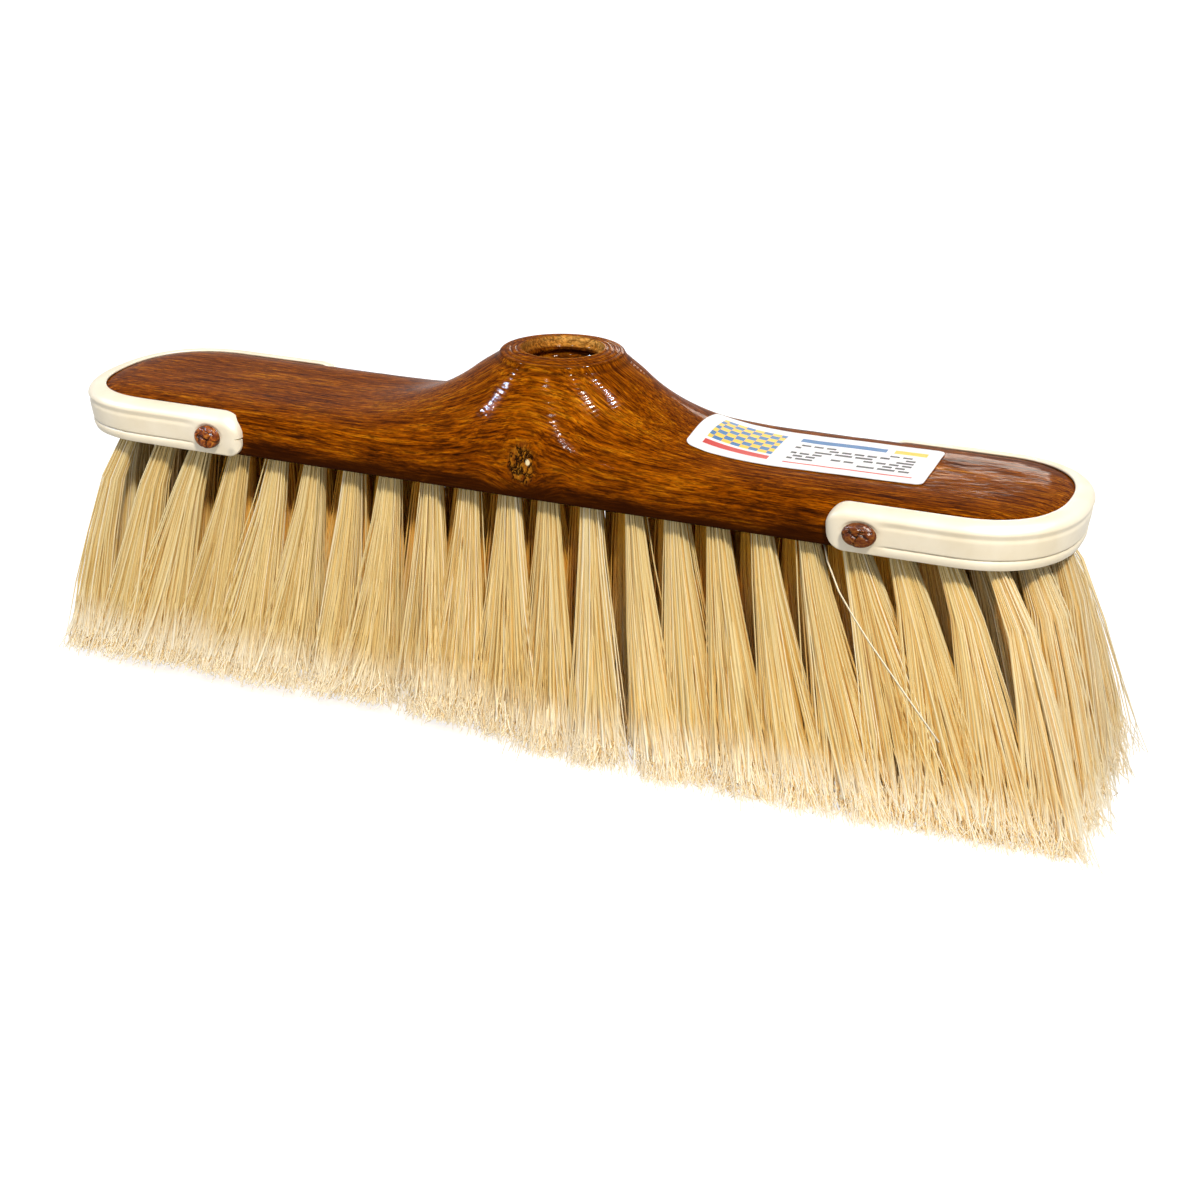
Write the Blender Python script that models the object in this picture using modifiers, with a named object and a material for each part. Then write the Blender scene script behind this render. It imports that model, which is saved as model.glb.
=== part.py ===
"""A broom head: a shaped hardwood block with a threaded handle socket, rows of bristle tufts set in its
underside, a soft rubber bumper round each end, four pegs that hold the bumpers, and a paper label.

X runs along the head, the front faces -Y and Z = 0 is the plane that the bristle tips stand on.
"""

import math

import bmesh
import bpy
from mathutils import Vector

# Overall sizes, in metres.
HEAD_LENGTH = 0.280
HEAD_WIDTH = 0.0606
BRISTLE_LENGTH = 0.069
RIM_HEIGHT = 0.0325

# Gaps and overruns.
SEAT_GAP = 0.0003
CUT_OVERRUN = 0.002
WELD_DISTANCE = 0.000001

# The wooden block. Its heights are counted from its underside.
BUMPER_PROUD = 0.0033
BLOCK_HALF_LENGTH = HEAD_LENGTH / 2 - BUMPER_PROUD
BLOCK_HALF_WIDTH = HEAD_WIDTH / 2 - BUMPER_PROUD
END_DEPTH = 0.024
END_EXPONENT = 2.3
SIDE_HEIGHT = 0.0088
CROWN_RISE = 0.0040
SHOULDER_WIDTH = 0.014
SHOULDER_EXPONENT = 2.2
UNDER_CHAMFER = 0.0005
RIM_EASE = 0.0006
FLARE_REACH_LONG = 0.075
FLARE_REACH_WIDE = 0.045
FLARE_EXPONENT = 3.05
END_STEPS = 9
SIDE_STEPS = 22
SHOULDER_SHARES = (0, 0.03, 0.08, 0.17, 0.31, 0.5)
SHOULDER_WALL_SHARE = 1.35
LOFT_RINGS = 9
LOFT_EXPONENT = 1.6

# The handle socket. The boss leaves a wall round its mouth, and its floor lies over the tuft holes.
SOCKET_RADIUS = 0.0099
SOCKET_COUNTERSINK = 0.0017
SOCKET_FLOOR = 0.002
SOCKET_STEPS = 30
RIM_WALL = 0.00485
SOCKET_MOUTH_RADIUS = SOCKET_RADIUS + SOCKET_COUNTERSINK
RIM_RADIUS = SOCKET_MOUTH_RADIUS + RIM_WALL
THREAD_PITCH = 0.0046
THREAD_CUT = 0.0014
THREAD_RUNOUT = 0.0025
THREAD_POINTS_PER_TURN = 12

# The tufts. They stand in staggered rows, and each row starts from a thin slice of the block.
TUFT_PITCH = 0.01135
ROW_NAMES = (
    "front_outer_tufts",
    "front_inner_tufts",
    "centre_tufts",
    "back_inner_tufts",
    "back_outer_tufts",
)
END_MARGIN = 0.006
SIDE_MARGIN = 0.0066
ROW_PITCH = 2 * (BLOCK_HALF_WIDTH - SIDE_MARGIN) / (len(ROW_NAMES) - 1)
TUFT_HOLE_RADIUS = 0.00225
TUFT_HOLE_DEPTH = 0.0085
TUFT_SIDES = 6
SOCKET_DEPTH = RIM_HEIGHT - TUFT_HOLE_DEPTH - SOCKET_FLOOR
SLICE_THICKNESS = 0.0012
SLICE_LAND = 0.0018
SLICE_HALF_WIDTH = (ROW_PITCH - SLICE_LAND) / 2
SLICE_REACH = 0.00075
SLICE_END = TUFT_HOLE_RADIUS + SLICE_REACH
STRANDS_PER_TUFT = 3
STRAND_ROOT_OFFSET = 0.0013
STRAND_TIP_OFFSET = 0.0042
STRAND_ROOT_RADIUS = 0.00105
STRAND_MIDDLE_RADIUS = 0.0017
STRAND_TIP_RADIUS = 0.0013
STRAND_MIDDLE_SHARE = 0.5
TIP_CUT = 0.0005
SPREAD_LONG_SHARE = 0.15
SPREAD_CORNER_SHARE = 0.086
SPREAD_WIDE_SHARE = 0.68
SPREAD_POWER = 1.25

# The rubber bumpers and the pegs that hold them.
PEG_INSET = 0.0492
PEG_LEDGE = 0.0008
PEG_SHANK_RADIUS = 0.0022
PEG_END_WALL = 0.00205
PEG_DEPTH = BLOCK_HALF_WIDTH - ROW_PITCH - TUFT_HOLE_RADIUS - PEG_END_WALL
PEG_HEAD_RADIUS = 0.0040
PEG_HEAD_HEIGHT = 0.0017
PEG_HEAD_RIM_SHARE = 0.35
PEG_STEPS = 16
BUMPER_TAIL = 0.0090
BUMPER_TOP_CORNER = 0.0062
BUMPER_BOTTOM_CORNER = 0.0030
BUMPER_CORNER_STEPS = 5
BUMPER_LEG_STEPS = 2
BUMPER_LIP = 0.0015
LIP_THICKNESS = 0.0007
GROOVE_DEPTH = 0.0007
GROOVE_HALF_WIDTH = 0.0005
LOWER_GROOVE_HEIGHT = 0.0026
UPPER_GROOVE_HEIGHT = 0.0080
HEAD_RECESS_DEPTH = 0.0009
HEAD_RECESS_MARGIN = 0.0005
PEG_HEIGHT = PEG_LEDGE + HEAD_RECESS_MARGIN + PEG_HEAD_RADIUS

# The paper label.
LABEL_CENTRE_X = 0.0700
LABEL_CENTRE_Y = 0.0030
LABEL_LENGTH = 0.0620
LABEL_WIDTH = 0.0285
LABEL_THICKNESS = 0.00025
LABEL_CORNER = 0.0008
LABEL_LONG_STEPS = 16
LABEL_WIDE_STEPS = 8

PART_NAME = "broom_head"


def clear_scene():
    for thing in list(bpy.data.objects):
        bpy.data.objects.remove(thing, do_unlink=True)


def new_collection(name):
    collection = bpy.data.collections.new(name)
    bpy.context.scene.collection.children.link(collection)
    return collection


clear_scene()
PARTS = new_collection(PART_NAME)
CUTTERS = new_collection(PART_NAME + "_cutters")


def linear(channel):
    """One sRGB channel, 0 to 1, as the linear value that a shader takes."""
    if channel <= 0.04045:
        return channel / 12.92
    return ((channel + 0.055) / 1.055) ** 2.4


def material(name, colour, roughness, metallic=0):
    """A Principled material of one colour, given as an sRGB hex number."""
    made = bpy.data.materials.new(name)
    made.use_nodes = True
    shader = made.node_tree.nodes["Principled BSDF"]
    channels = [(colour >> shift & 255) / 255 for shift in (16, 8, 0)]
    shader.inputs["Base Color"].default_value = [linear(c) for c in channels] + [1]
    shader.inputs["Roughness"].default_value = roughness
    shader.inputs["Metallic"].default_value = metallic
    return made


VARNISHED_WOOD = material("varnished_wood", 0x8A4B14, 0.22)
CREAM_RUBBER = material("cream_rubber", 0xF1E9D2, 0.55)
STAINED_PEG = material("stained_peg", 0x7A3F1B, 0.3)
STRAW_BRISTLE = material("straw_bristle", 0xE3C27E, 0.6)
LABEL_PAPER = material("label_paper", 0xEEF0F2, 0.5)


def add_object(name, data, collection, finish=None):
    made = bpy.data.objects.new(name, data)
    collection.objects.link(made)
    if finish:
        data.materials.append(finish)
    return made


def add_cutter(name, data):
    made = add_object(name, data, CUTTERS)
    made.hide_render = True
    made.display_type = "WIRE"
    return made


def mesh_from(bm, name):
    """The finished mesh of a bmesh, with its faces turned outwards."""
    bmesh.ops.recalc_face_normals(bm, faces=bm.faces)
    mesh = bpy.data.meshes.new(name)
    bm.to_mesh(mesh)
    bm.free()
    return mesh


def boolean(target, other, operation="DIFFERENCE"):
    modifier = target.modifiers.new(operation.lower() + "_" + other.name, "BOOLEAN")
    modifier.operation = operation
    modifier.solver = "EXACT"
    modifier.object = other


def mesh_from_curve(thing, name):
    """The mesh of a curve object, with its loose caps welded on. The curve is removed."""
    graph = bpy.context.evaluated_depsgraph_get()
    mesh = bpy.data.meshes.new_from_object(thing.evaluated_get(graph))
    bm = bmesh.new()
    bm.from_mesh(mesh)
    bmesh.ops.remove_doubles(bm, verts=bm.verts, dist=WELD_DISTANCE)
    bpy.data.meshes.remove(mesh)
    bpy.data.objects.remove(thing, do_unlink=True)
    return mesh_from(bm, name)


def poly_curve(name, splines, cyclic=False, flat=False):
    """A curve of straight pieces. Each spline is a list of (point, radius factor)."""
    curve = bpy.data.curves.new(name, "CURVE")
    curve.dimensions = "2D" if flat else "3D"
    for points in splines:
        spline = curve.splines.new("POLY")
        spline.points.add(len(points) - 1)
        spline.use_cyclic_u = cyclic
        for target, (point, radius) in zip(spline.points, points):
            target.co = (*point, 1)
            target.radius = radius
    return curve


def turned(name, profile, steps, collection):
    """A turned solid. The profile holds (radius, height) pairs from the axis at the top to the axis below."""
    bm = bmesh.new()
    corners = [bm.verts.new((radius, 0, height)) for radius, height in profile]
    for first, second in zip(corners, corners[1:]):
        bm.edges.new((first, second))
    mesh = bpy.data.meshes.new(name)
    bm.to_mesh(mesh)
    bm.free()
    made = add_object(name, mesh, collection)
    screw = made.modifiers.new("turn", "SCREW")
    screw.axis = "Z"
    screw.steps = steps
    screw.render_steps = steps
    screw.use_merge_vertices = True
    screw.merge_threshold = WELD_DISTANCE
    return made


def box_mesh(name, low, high):
    bm = bmesh.new()
    bmesh.ops.create_cube(bm, size=1)
    for vert in bm.verts:
        vert.co = [a if c < 0 else b for a, b, c in zip(low, high, vert.co)]
    return mesh_from(bm, name)


def add_prism(bm, centre, radius, low, high, sides):
    """An upright prism with its centre at centre, between two heights."""
    made = bmesh.ops.create_cone(
        bm, cap_ends=True, segments=sides, radius1=radius, radius2=radius, depth=high - low
    )
    shift = Vector((centre[0], centre[1], (low + high) / 2))
    bmesh.ops.translate(bm, verts=made["verts"], vec=shift)


# The shape of the block's outline and upper surface.


def end_point(turn, inset):
    """A point of the rounded end, drawn in by inset: turn runs from 0 at the tip to 1 at the side."""
    angle = turn * math.pi / 2
    scale = 1 - inset / BLOCK_HALF_WIDTH
    out = max(math.cos(angle), 0) ** (2 / END_EXPONENT)
    across = math.sin(angle) ** (2 / END_EXPONENT)
    x = BLOCK_HALF_LENGTH - END_DEPTH + END_DEPTH * scale * out
    return x, BLOCK_HALF_WIDTH * scale * across


def end_quarter(inset):
    """The rounded end from its tip to the right end of the back side."""
    return [end_point(i / END_STEPS, inset) for i in range(END_STEPS + 1)]


def outline(inset):
    """The block's outline from above, anticlockwise from the tip of the right end."""
    quarter = end_quarter(inset)
    straight = BLOCK_HALF_LENGTH - END_DEPTH
    along = [straight * (1 - 2 * i / SIDE_STEPS) for i in range(1, SIDE_STEPS)]
    side = [(x, quarter[-1][1]) for x in along]
    back = quarter + side + [(-x, y) for x, y in reversed(quarter)]
    return back + [(x, -y) for x, y in reversed(back[1:-1])]


def edge_inset(x, y):
    """How far a point lies inside the block's outline."""
    end = max(abs(x) - (BLOCK_HALF_LENGTH - END_DEPTH), 0) / END_DEPTH
    side = abs(y) / BLOCK_HALF_WIDTH
    reach = (end**END_EXPONENT + side**END_EXPONENT) ** (1 / END_EXPONENT)
    return max(1 - reach, 0) * BLOCK_HALF_WIDTH


def shoulder(inset):
    """How far the rounded shoulder has risen at this inset, from 0 to 1."""
    left = max(1 - inset / SHOULDER_WIDTH, 0)
    return (1 - left**SHOULDER_EXPONENT) ** (1 / SHOULDER_EXPONENT)


def shoulder_inset(height):
    """The inset at which the shoulder reaches this height over the block's side."""
    risen = min(max(height - SIDE_HEIGHT, 0) / CROWN_RISE, 1)
    return SHOULDER_WIDTH * (1 - (1 - risen**SHOULDER_EXPONENT) ** (1 / SHOULDER_EXPONENT))


# The bumper's lip lies on the shoulder, so the shoulder gives the bumper's height.
BUMPER_HEIGHT = SIDE_HEIGHT + CROWN_RISE * shoulder(BUMPER_LIP) + SEAT_GAP + LIP_THICKNESS


def top_height(x, y):
    """The height of the wood's upper surface over its underside, boss included."""
    risen = shoulder(edge_inset(x, y))
    bearing = math.atan2(y, x)
    reach = 1 / math.hypot(math.cos(bearing) / FLARE_REACH_LONG, math.sin(bearing) / FLARE_REACH_WIDE)
    share = (math.hypot(x, y) - RIM_RADIUS) / (reach - RIM_RADIUS)
    share = min(max(share, 0), 1)
    boss = (RIM_HEIGHT - SIDE_HEIGHT - CROWN_RISE) * (1 - share) ** FLARE_EXPONENT
    return SIDE_HEIGHT + CROWN_RISE * risen + boss * (1 - share * (1 - risen))


def rim_circle(points, radius):
    """Points of the rim, one for each outline point, spaced as those are spaced along the outline."""
    steps = [math.dist(a, b) for a, b in zip(points, points[1:] + points[:1])]
    whole = sum(steps)
    gone = 0
    circle = []
    for step in steps:
        angle = 2 * math.pi * gone / whole
        circle.append((radius * math.cos(angle), radius * math.sin(angle)))
        gone += step
    return circle


def block_rings():
    """The block's rings of points, from its underside up its side and in to the flat of the rim."""
    edge = outline(0)
    rings = [[(x, y, 0) for x, y in outline(UNDER_CHAMFER)]]
    rings.append([(x, y, UNDER_CHAMFER) for x, y in edge])
    reach = min(SHOULDER_WIDTH, SHOULDER_WALL_SHARE * (BLOCK_HALF_WIDTH - RIM_RADIUS))
    for share in SHOULDER_SHARES:
        ring = outline(share * reach)
        rings.append([(x, y, top_height(x, y)) for x, y in ring])
    inner = outline(SHOULDER_SHARES[-1] * reach)
    rim = rim_circle(edge, RIM_RADIUS)
    for i in range(1, LOFT_RINGS):
        share = 1 - (1 - i / LOFT_RINGS) ** LOFT_EXPONENT
        ring = [(a + (c - a) * share, b + (d - b) * share) for (a, b), (c, d) in zip(inner, rim)]
        rings.append([(x, y, top_height(x, y)) for x, y in ring])
    for drawn_in, dropped in ((0, 1), (0.3, 0.3), (1, 0)):
        ring = rim_circle(edge, RIM_RADIUS - drawn_in * RIM_EASE)
        rings.append([(x, y, RIM_HEIGHT - dropped * RIM_EASE) for x, y in ring])
    return rings


def block_mesh():
    bm = bmesh.new()
    rings = [
        [bm.verts.new((x, y, BRISTLE_LENGTH + z)) for x, y, z in ring] for ring in block_rings()
    ]
    for lower, upper in zip(rings, rings[1:]):
        for i, corner in enumerate(lower):
            before = i - 1
            bm.faces.new((lower[before], corner, upper[i], upper[before]))
    bm.faces.new(rings[0])
    bm.faces.new(rings[-1])
    return mesh_from(bm, "block")


# Places of the rows and tufts.


def row_places():
    """Each row's name, its Y, and the X of each of its tufts. Neighbouring rows are staggered."""
    rows = []
    for i, name in enumerate(ROW_NAMES):
        step = i - (len(ROW_NAMES) - 1) / 2
        y = step * ROW_PITCH
        across = min(abs(y) / BLOCK_HALF_WIDTH, 1)
        end = (1 - across**END_EXPONENT) ** (1 / END_EXPONENT)
        half = BLOCK_HALF_LENGTH - END_DEPTH + END_DEPTH * end - END_MARGIN
        offset = 0.5 if i % 2 == 0 else 0
        most = math.floor(half / TUFT_PITCH - offset)
        right = [(k + offset) * TUFT_PITCH for k in range(most + 1)]
        left = [-x for x in reversed(right) if x > 0]
        rows.append((name, y, left + right))
    return rows


ROWS = row_places()
UNDERSIDE = BRISTLE_LENGTH
SLICE_TOP = UNDERSIDE + SLICE_THICKNESS
PEG_X = round((HEAD_LENGTH / 2 - PEG_INSET) / TUFT_PITCH) * TUFT_PITCH


def slice_box(y, places, gap=0, overrun=0):
    """The low and high corners of a row's slice of the block, or of the slot that it lies in."""
    half = places[-1] + SLICE_END + gap
    wide = SLICE_HALF_WIDTH + gap
    return (-half, y - wide, UNDERSIDE - overrun), (half, y + wide, SLICE_TOP + gap)


def cut_tuft_holes(block):
    bm = bmesh.new()
    top = UNDERSIDE + TUFT_HOLE_DEPTH
    for _, y, places in ROWS:
        for x in places:
            add_prism(bm, (x, y), TUFT_HOLE_RADIUS, UNDERSIDE - CUT_OVERRUN, top, TUFT_SIDES)
    boolean(block, add_cutter("tuft_holes", mesh_from(bm, "tuft_holes")))
    for name, y, places in ROWS:
        low, high = slice_box(y, places, SEAT_GAP, CUT_OVERRUN)
        boolean(block, add_cutter(name + "_slot", box_mesh(name + "_slot", low, high)))


def cut_socket(block):
    """The bore with its countersunk mouth, then the thread as a helical groove in its wall."""
    floor = RIM_HEIGHT - SOCKET_DEPTH
    cone = SOCKET_MOUTH_RADIUS - SOCKET_RADIUS
    profile = (
        (0, RIM_HEIGHT + CUT_OVERRUN),
        (SOCKET_MOUTH_RADIUS, RIM_HEIGHT + CUT_OVERRUN),
        (SOCKET_MOUTH_RADIUS, RIM_HEIGHT),
        (SOCKET_RADIUS, RIM_HEIGHT - cone),
        (SOCKET_RADIUS, floor),
        (0, floor),
    )
    bore = turned("socket_bore", profile, SOCKET_STEPS, CUTTERS)
    bore.location.z = UNDERSIDE
    bore.hide_render = True
    bore.display_type = "WIRE"
    boolean(block, bore)
    low = UNDERSIDE + floor + THREAD_RUNOUT
    high = UNDERSIDE + RIM_HEIGHT - cone - THREAD_CUT
    turns = (high - low) / THREAD_PITCH
    count = math.ceil(turns * THREAD_POINTS_PER_TURN)
    points = []
    for i in range(count + 1):
        angle = 2 * math.pi * turns * i / count
        place = (SOCKET_RADIUS * math.cos(angle), SOCKET_RADIUS * math.sin(angle))
        points.append(((*place, low + (high - low) * i / count), 1))
    curve = poly_curve("socket_thread", [points])
    curve.bevel_depth = THREAD_CUT
    curve.bevel_resolution = 0
    curve.use_fill_caps = True
    helix = add_object("socket_thread_path", curve, CUTTERS)
    boolean(block, add_cutter("socket_thread", mesh_from_curve(helix, "socket_thread")))


def add_block():
    block = add_object("block", block_mesh(), PARTS, VARNISHED_WOOD)
    cut_tuft_holes(block)
    cut_socket(block)
    for cutter in peg_bores():
        boolean(block, cutter)
    return block


# The tufts.


def strand_path(x, y, turn, bowed):
    """One strand's points and radius factors, from inside its slice to just below the tip plane.

    Every strand follows one map that only spreads with depth, so no two of them cross.
    """
    stations = [(0, STRAND_ROOT_RADIUS), (1, STRAND_TIP_RADIUS)]
    if bowed:
        stations.insert(1, (STRAND_MIDDLE_SHARE, STRAND_MIDDLE_RADIUS))
    spread_long = SPREAD_LONG_SHARE + SPREAD_CORNER_SHARE * abs(y) / BLOCK_HALF_WIDTH
    path = []
    for share, radius in stations:
        spread = share**SPREAD_POWER
        centre_x = x * (1 + spread_long * spread)
        centre_y = y * (1 + SPREAD_WIDE_SHARE * spread)
        offset = STRAND_ROOT_OFFSET + (STRAND_TIP_OFFSET - STRAND_ROOT_OFFSET) * spread
        top = UNDERSIDE + SLICE_THICKNESS / 2
        height = top - (top + TIP_CUT) * share
        point = (
            centre_x + offset * math.cos(turn),
            centre_y + offset * math.sin(turn),
            height,
        )
        path.append((point, radius / STRAND_MIDDLE_RADIUS))
    return path


def strands_mesh(name, y, places):
    """The three-sided strands of one row, swept by a triangle along each strand's path.

    The strands of the two outer rows bow outwards, and those between them, which they hide, are straight.
    """
    bowed = name in (ROW_NAMES[0], ROW_NAMES[-1])
    splines = []
    for x in places:
        for k in range(STRANDS_PER_TUFT):
            turn = 2 * math.pi * k / STRANDS_PER_TUFT + math.copysign(math.pi / 2, y)
            splines.append(strand_path(x, y, turn, bowed))
    corners = [2 * math.pi * k / 3 for k in range(3)]
    section = [
        ((STRAND_MIDDLE_RADIUS * math.cos(a), STRAND_MIDDLE_RADIUS * math.sin(a), 0), 1) for a in corners
    ]
    triangle = add_object(name + "_section", poly_curve(name, [section], True, True), CUTTERS)
    curve = poly_curve(name, splines)
    curve.bevel_mode = "OBJECT"
    curve.bevel_object = triangle
    curve.use_fill_caps = True
    mesh = mesh_from_curve(add_object(name + "_paths", curve, CUTTERS), name + "_strands")
    bpy.data.objects.remove(triangle, do_unlink=True)
    return mesh


def add_row(name, y, places, tip_plane):
    """One row of tufts: its slice of the block, a root plug up into each hole, and the strands below."""
    low, high = slice_box(y, places)
    row = add_object(name, box_mesh(name, low, high), PARTS, STRAW_BRISTLE)
    bm = bmesh.new()
    plug_top = UNDERSIDE + TUFT_HOLE_DEPTH - SEAT_GAP
    for x in places:
        add_prism(
            bm, (x, y), TUFT_HOLE_RADIUS - SEAT_GAP, UNDERSIDE + SLICE_THICKNESS / 2, plug_top, TUFT_SIDES
        )
    boolean(row, add_cutter(name + "_plugs", mesh_from(bm, name + "_plugs")), "UNION")
    boolean(row, add_cutter(name + "_strands", strands_mesh(name, y, places)), "UNION")
    boolean(row, tip_plane)


def add_tip_plane():
    """The box that cuts the strand tips flat at Z = 0."""
    reach = HEAD_LENGTH
    low = (-reach, -reach, -CUT_OVERRUN - TIP_CUT)
    return add_cutter("tip_plane", box_mesh("tip_plane", low, (reach, reach, 0)))


# The pegs and bumpers.


def add_cylinder_cutter(name, radius, x, side, near, far):
    """A cutter along Y from near to far on the side that side names, at a peg's place."""
    bm = bmesh.new()
    add_prism(bm, (0, 0), radius, near, far, PEG_STEPS)
    made = add_cutter(name, mesh_from(bm, name))
    made.location = (x, 0, UNDERSIDE + PEG_HEIGHT)
    made.rotation_euler.x = -side * math.pi / 2
    return made


def peg_places():
    return [
        (f"{depth}_{end}_peg", sign * PEG_X, side)
        for depth, side in (("front", -1), ("back", 1))
        for end, sign in (("left", -1), ("right", 1))
    ]


def peg_bores():
    """The pegs' holes in the wood."""
    near = BLOCK_HALF_WIDTH - PEG_DEPTH - SEAT_GAP
    far = BLOCK_HALF_WIDTH + CUT_OVERRUN
    return [
        add_cylinder_cutter(name + "_bore", PEG_SHANK_RADIUS + SEAT_GAP, x, side, near, far)
        for name, x, side in peg_places()
    ]


def add_pegs():
    """Each peg is turned about Z, with its shank downwards, then laid along Y."""
    seat = HEAD_WIDTH / 2 - HEAD_RECESS_DEPTH + SEAT_GAP
    shank = seat - (BLOCK_HALF_WIDTH - PEG_DEPTH)
    rim = PEG_HEAD_HEIGHT * PEG_HEAD_RIM_SHARE
    dome = [(math.sin(a), math.cos(a)) for a in (0, math.pi / 6, math.pi / 3)]
    rounded = [(PEG_HEAD_RADIUS * out, rim + (PEG_HEAD_HEIGHT - rim) * up) for out, up in dome]
    profile = rounded + [
        (PEG_HEAD_RADIUS, rim),
        (PEG_HEAD_RADIUS, 0),
        (PEG_SHANK_RADIUS, 0),
        (PEG_SHANK_RADIUS, -shank),
        (0, -shank),
    ]
    for name, x, side in peg_places():
        peg = turned(name, profile, PEG_STEPS, PARTS)
        peg.data.materials.append(STAINED_PEG)
        peg.location = (x, side * seat, UNDERSIDE + PEG_HEIGHT)
        peg.rotation_euler.x = -side * math.pi / 2


def groove(height, outward):
    """A groove's three corners in the bumper's outer face."""
    return [
        (outward, height - GROOVE_HALF_WIDTH),
        (outward - GROOVE_DEPTH, height),
        (outward, height + GROOVE_HALF_WIDTH),
    ]


def bumper_section():
    """The bumper's section as (outward from the block's side, height), anticlockwise.

    Its inner face follows the wood's side and shoulder at the seat gap, and its lip lies on the shoulder.
    """
    wall = BUMPER_PROUD
    turn_in = GROOVE_DEPTH
    lip_low = BUMPER_HEIGHT - LIP_THICKNESS
    outer = [(SEAT_GAP, 0), (wall - turn_in, 0), (wall, turn_in)]
    outer += groove(LOWER_GROOVE_HEIGHT, wall)
    outer += groove(UPPER_GROOVE_HEIGHT, wall)
    rounded = BUMPER_HEIGHT - UPPER_GROOVE_HEIGHT - 2 * GROOVE_HALF_WIDTH
    base = BUMPER_HEIGHT - rounded
    for share in (0.25, 0.5, 0.75):
        angle = share * math.pi / 2
        outer.append(((wall + BUMPER_LIP) * math.cos(angle) - BUMPER_LIP, base + rounded * math.sin(angle)))
    outer.append((-BUMPER_LIP, BUMPER_HEIGHT))
    inner = [(-BUMPER_LIP, lip_low)]
    for share in (0.5, 0):
        height = SIDE_HEIGHT + share * (lip_low - SIDE_HEIGHT)
        clear = max(height - 2 * SEAT_GAP, SIDE_HEIGHT)
        inner.append((SEAT_GAP - shoulder_inset(clear), height))
    return outer + inner


def bumper_mesh():
    """The right bumper: its section swept round the block's end and along both sides."""
    tail = PEG_X - BUMPER_TAIL
    straight = BLOCK_HALF_LENGTH - END_DEPTH
    leg = [
        (straight + (tail - straight) * i / BUMPER_LEG_STEPS, BLOCK_HALF_WIDTH)
        for i in range(1, BUMPER_LEG_STEPS + 1)
    ]
    back = end_quarter(0) + leg
    path = [(x, -y) for x, y in reversed(back[1:])] + back
    section = [((across, up, 0), 1) for across, up in bumper_section()]
    profile = add_object("bumper_section", poly_curve("bumper_section", [section], True, True), CUTTERS)
    curve = poly_curve("bumper_path", [[((x, y, UNDERSIDE), 1) for x, y in path]])
    curve.twist_mode = "Z_UP"
    curve.bevel_mode = "OBJECT"
    curve.bevel_object = profile
    curve.use_fill_caps = True
    mesh = mesh_from_curve(add_object("bumper_path", curve, CUTTERS), "bumper")
    bpy.data.objects.remove(profile, do_unlink=True)
    return mesh


def tail_corner(radius, level, up):
    """A rounded corner of the bumper's tail, from its long edge to its end. up is 1 at the top."""
    tail = PEG_X - BUMPER_TAIL
    corner = []
    for i in range(BUMPER_CORNER_STEPS + 1):
        angle = i / BUMPER_CORNER_STEPS * math.pi / 2
        x = tail + radius * (1 - math.sin(angle))
        corner.append((x, level - up * radius * (1 - math.cos(angle))))
    return corner


def bumper_blank():
    """The outline that the bumper's rounded tails are trimmed to, seen from the front, across the head."""
    over = CUT_OVERRUN
    top = tail_corner(BUMPER_TOP_CORNER, BUMPER_HEIGHT, 1)
    bottom = tail_corner(BUMPER_BOTTOM_CORNER, 0, -1)
    points = [(HEAD_LENGTH, -over), (HEAD_LENGTH, BUMPER_HEIGHT + over), (top[0][0], BUMPER_HEIGHT + over)]
    points += top + bottom[::-1] + [(bottom[0][0], -over)]
    bm = bmesh.new()
    front = [bm.verts.new((x, -HEAD_WIDTH, UNDERSIDE + z)) for x, z in points]
    face = bm.faces.new(front)
    made = bmesh.ops.extrude_face_region(bm, geom=[face])
    back = [item for item in made["geom"] if isinstance(item, bmesh.types.BMVert)]
    bmesh.ops.translate(bm, verts=back, vec=(0, 2 * HEAD_WIDTH, 0))
    return mesh_from(bm, "bumper_blank")


def add_bumpers():
    """Two of the same moulding, one turned end for end."""
    blank = add_cutter("bumper_blank", bumper_blank())
    floor = HEAD_WIDTH / 2 - HEAD_RECESS_DEPTH
    cutters = []
    for side in (-1, 1):
        hole = add_cylinder_cutter(
            f"bumper_hole_{side}", PEG_SHANK_RADIUS + SEAT_GAP, PEG_X, side, 0, HEAD_WIDTH
        )
        recess = add_cylinder_cutter(
            f"bumper_recess_{side}", PEG_HEAD_RADIUS + HEAD_RECESS_MARGIN, PEG_X, side, floor, HEAD_WIDTH
        )
        cutters += [hole, recess]
    right = add_object("right_bumper", bumper_mesh(), PARTS, CREAM_RUBBER)
    boolean(right, blank, "INTERSECT")
    for cutter in cutters:
        boolean(right, cutter)
    graph = bpy.context.evaluated_depsgraph_get()
    cut = bpy.data.meshes.new_from_object(right.evaluated_get(graph))
    cut.name = "left_bumper"
    left = bpy.data.objects.new("left_bumper", cut)
    PARTS.objects.link(left)
    left.rotation_euler.z = math.pi


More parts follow.
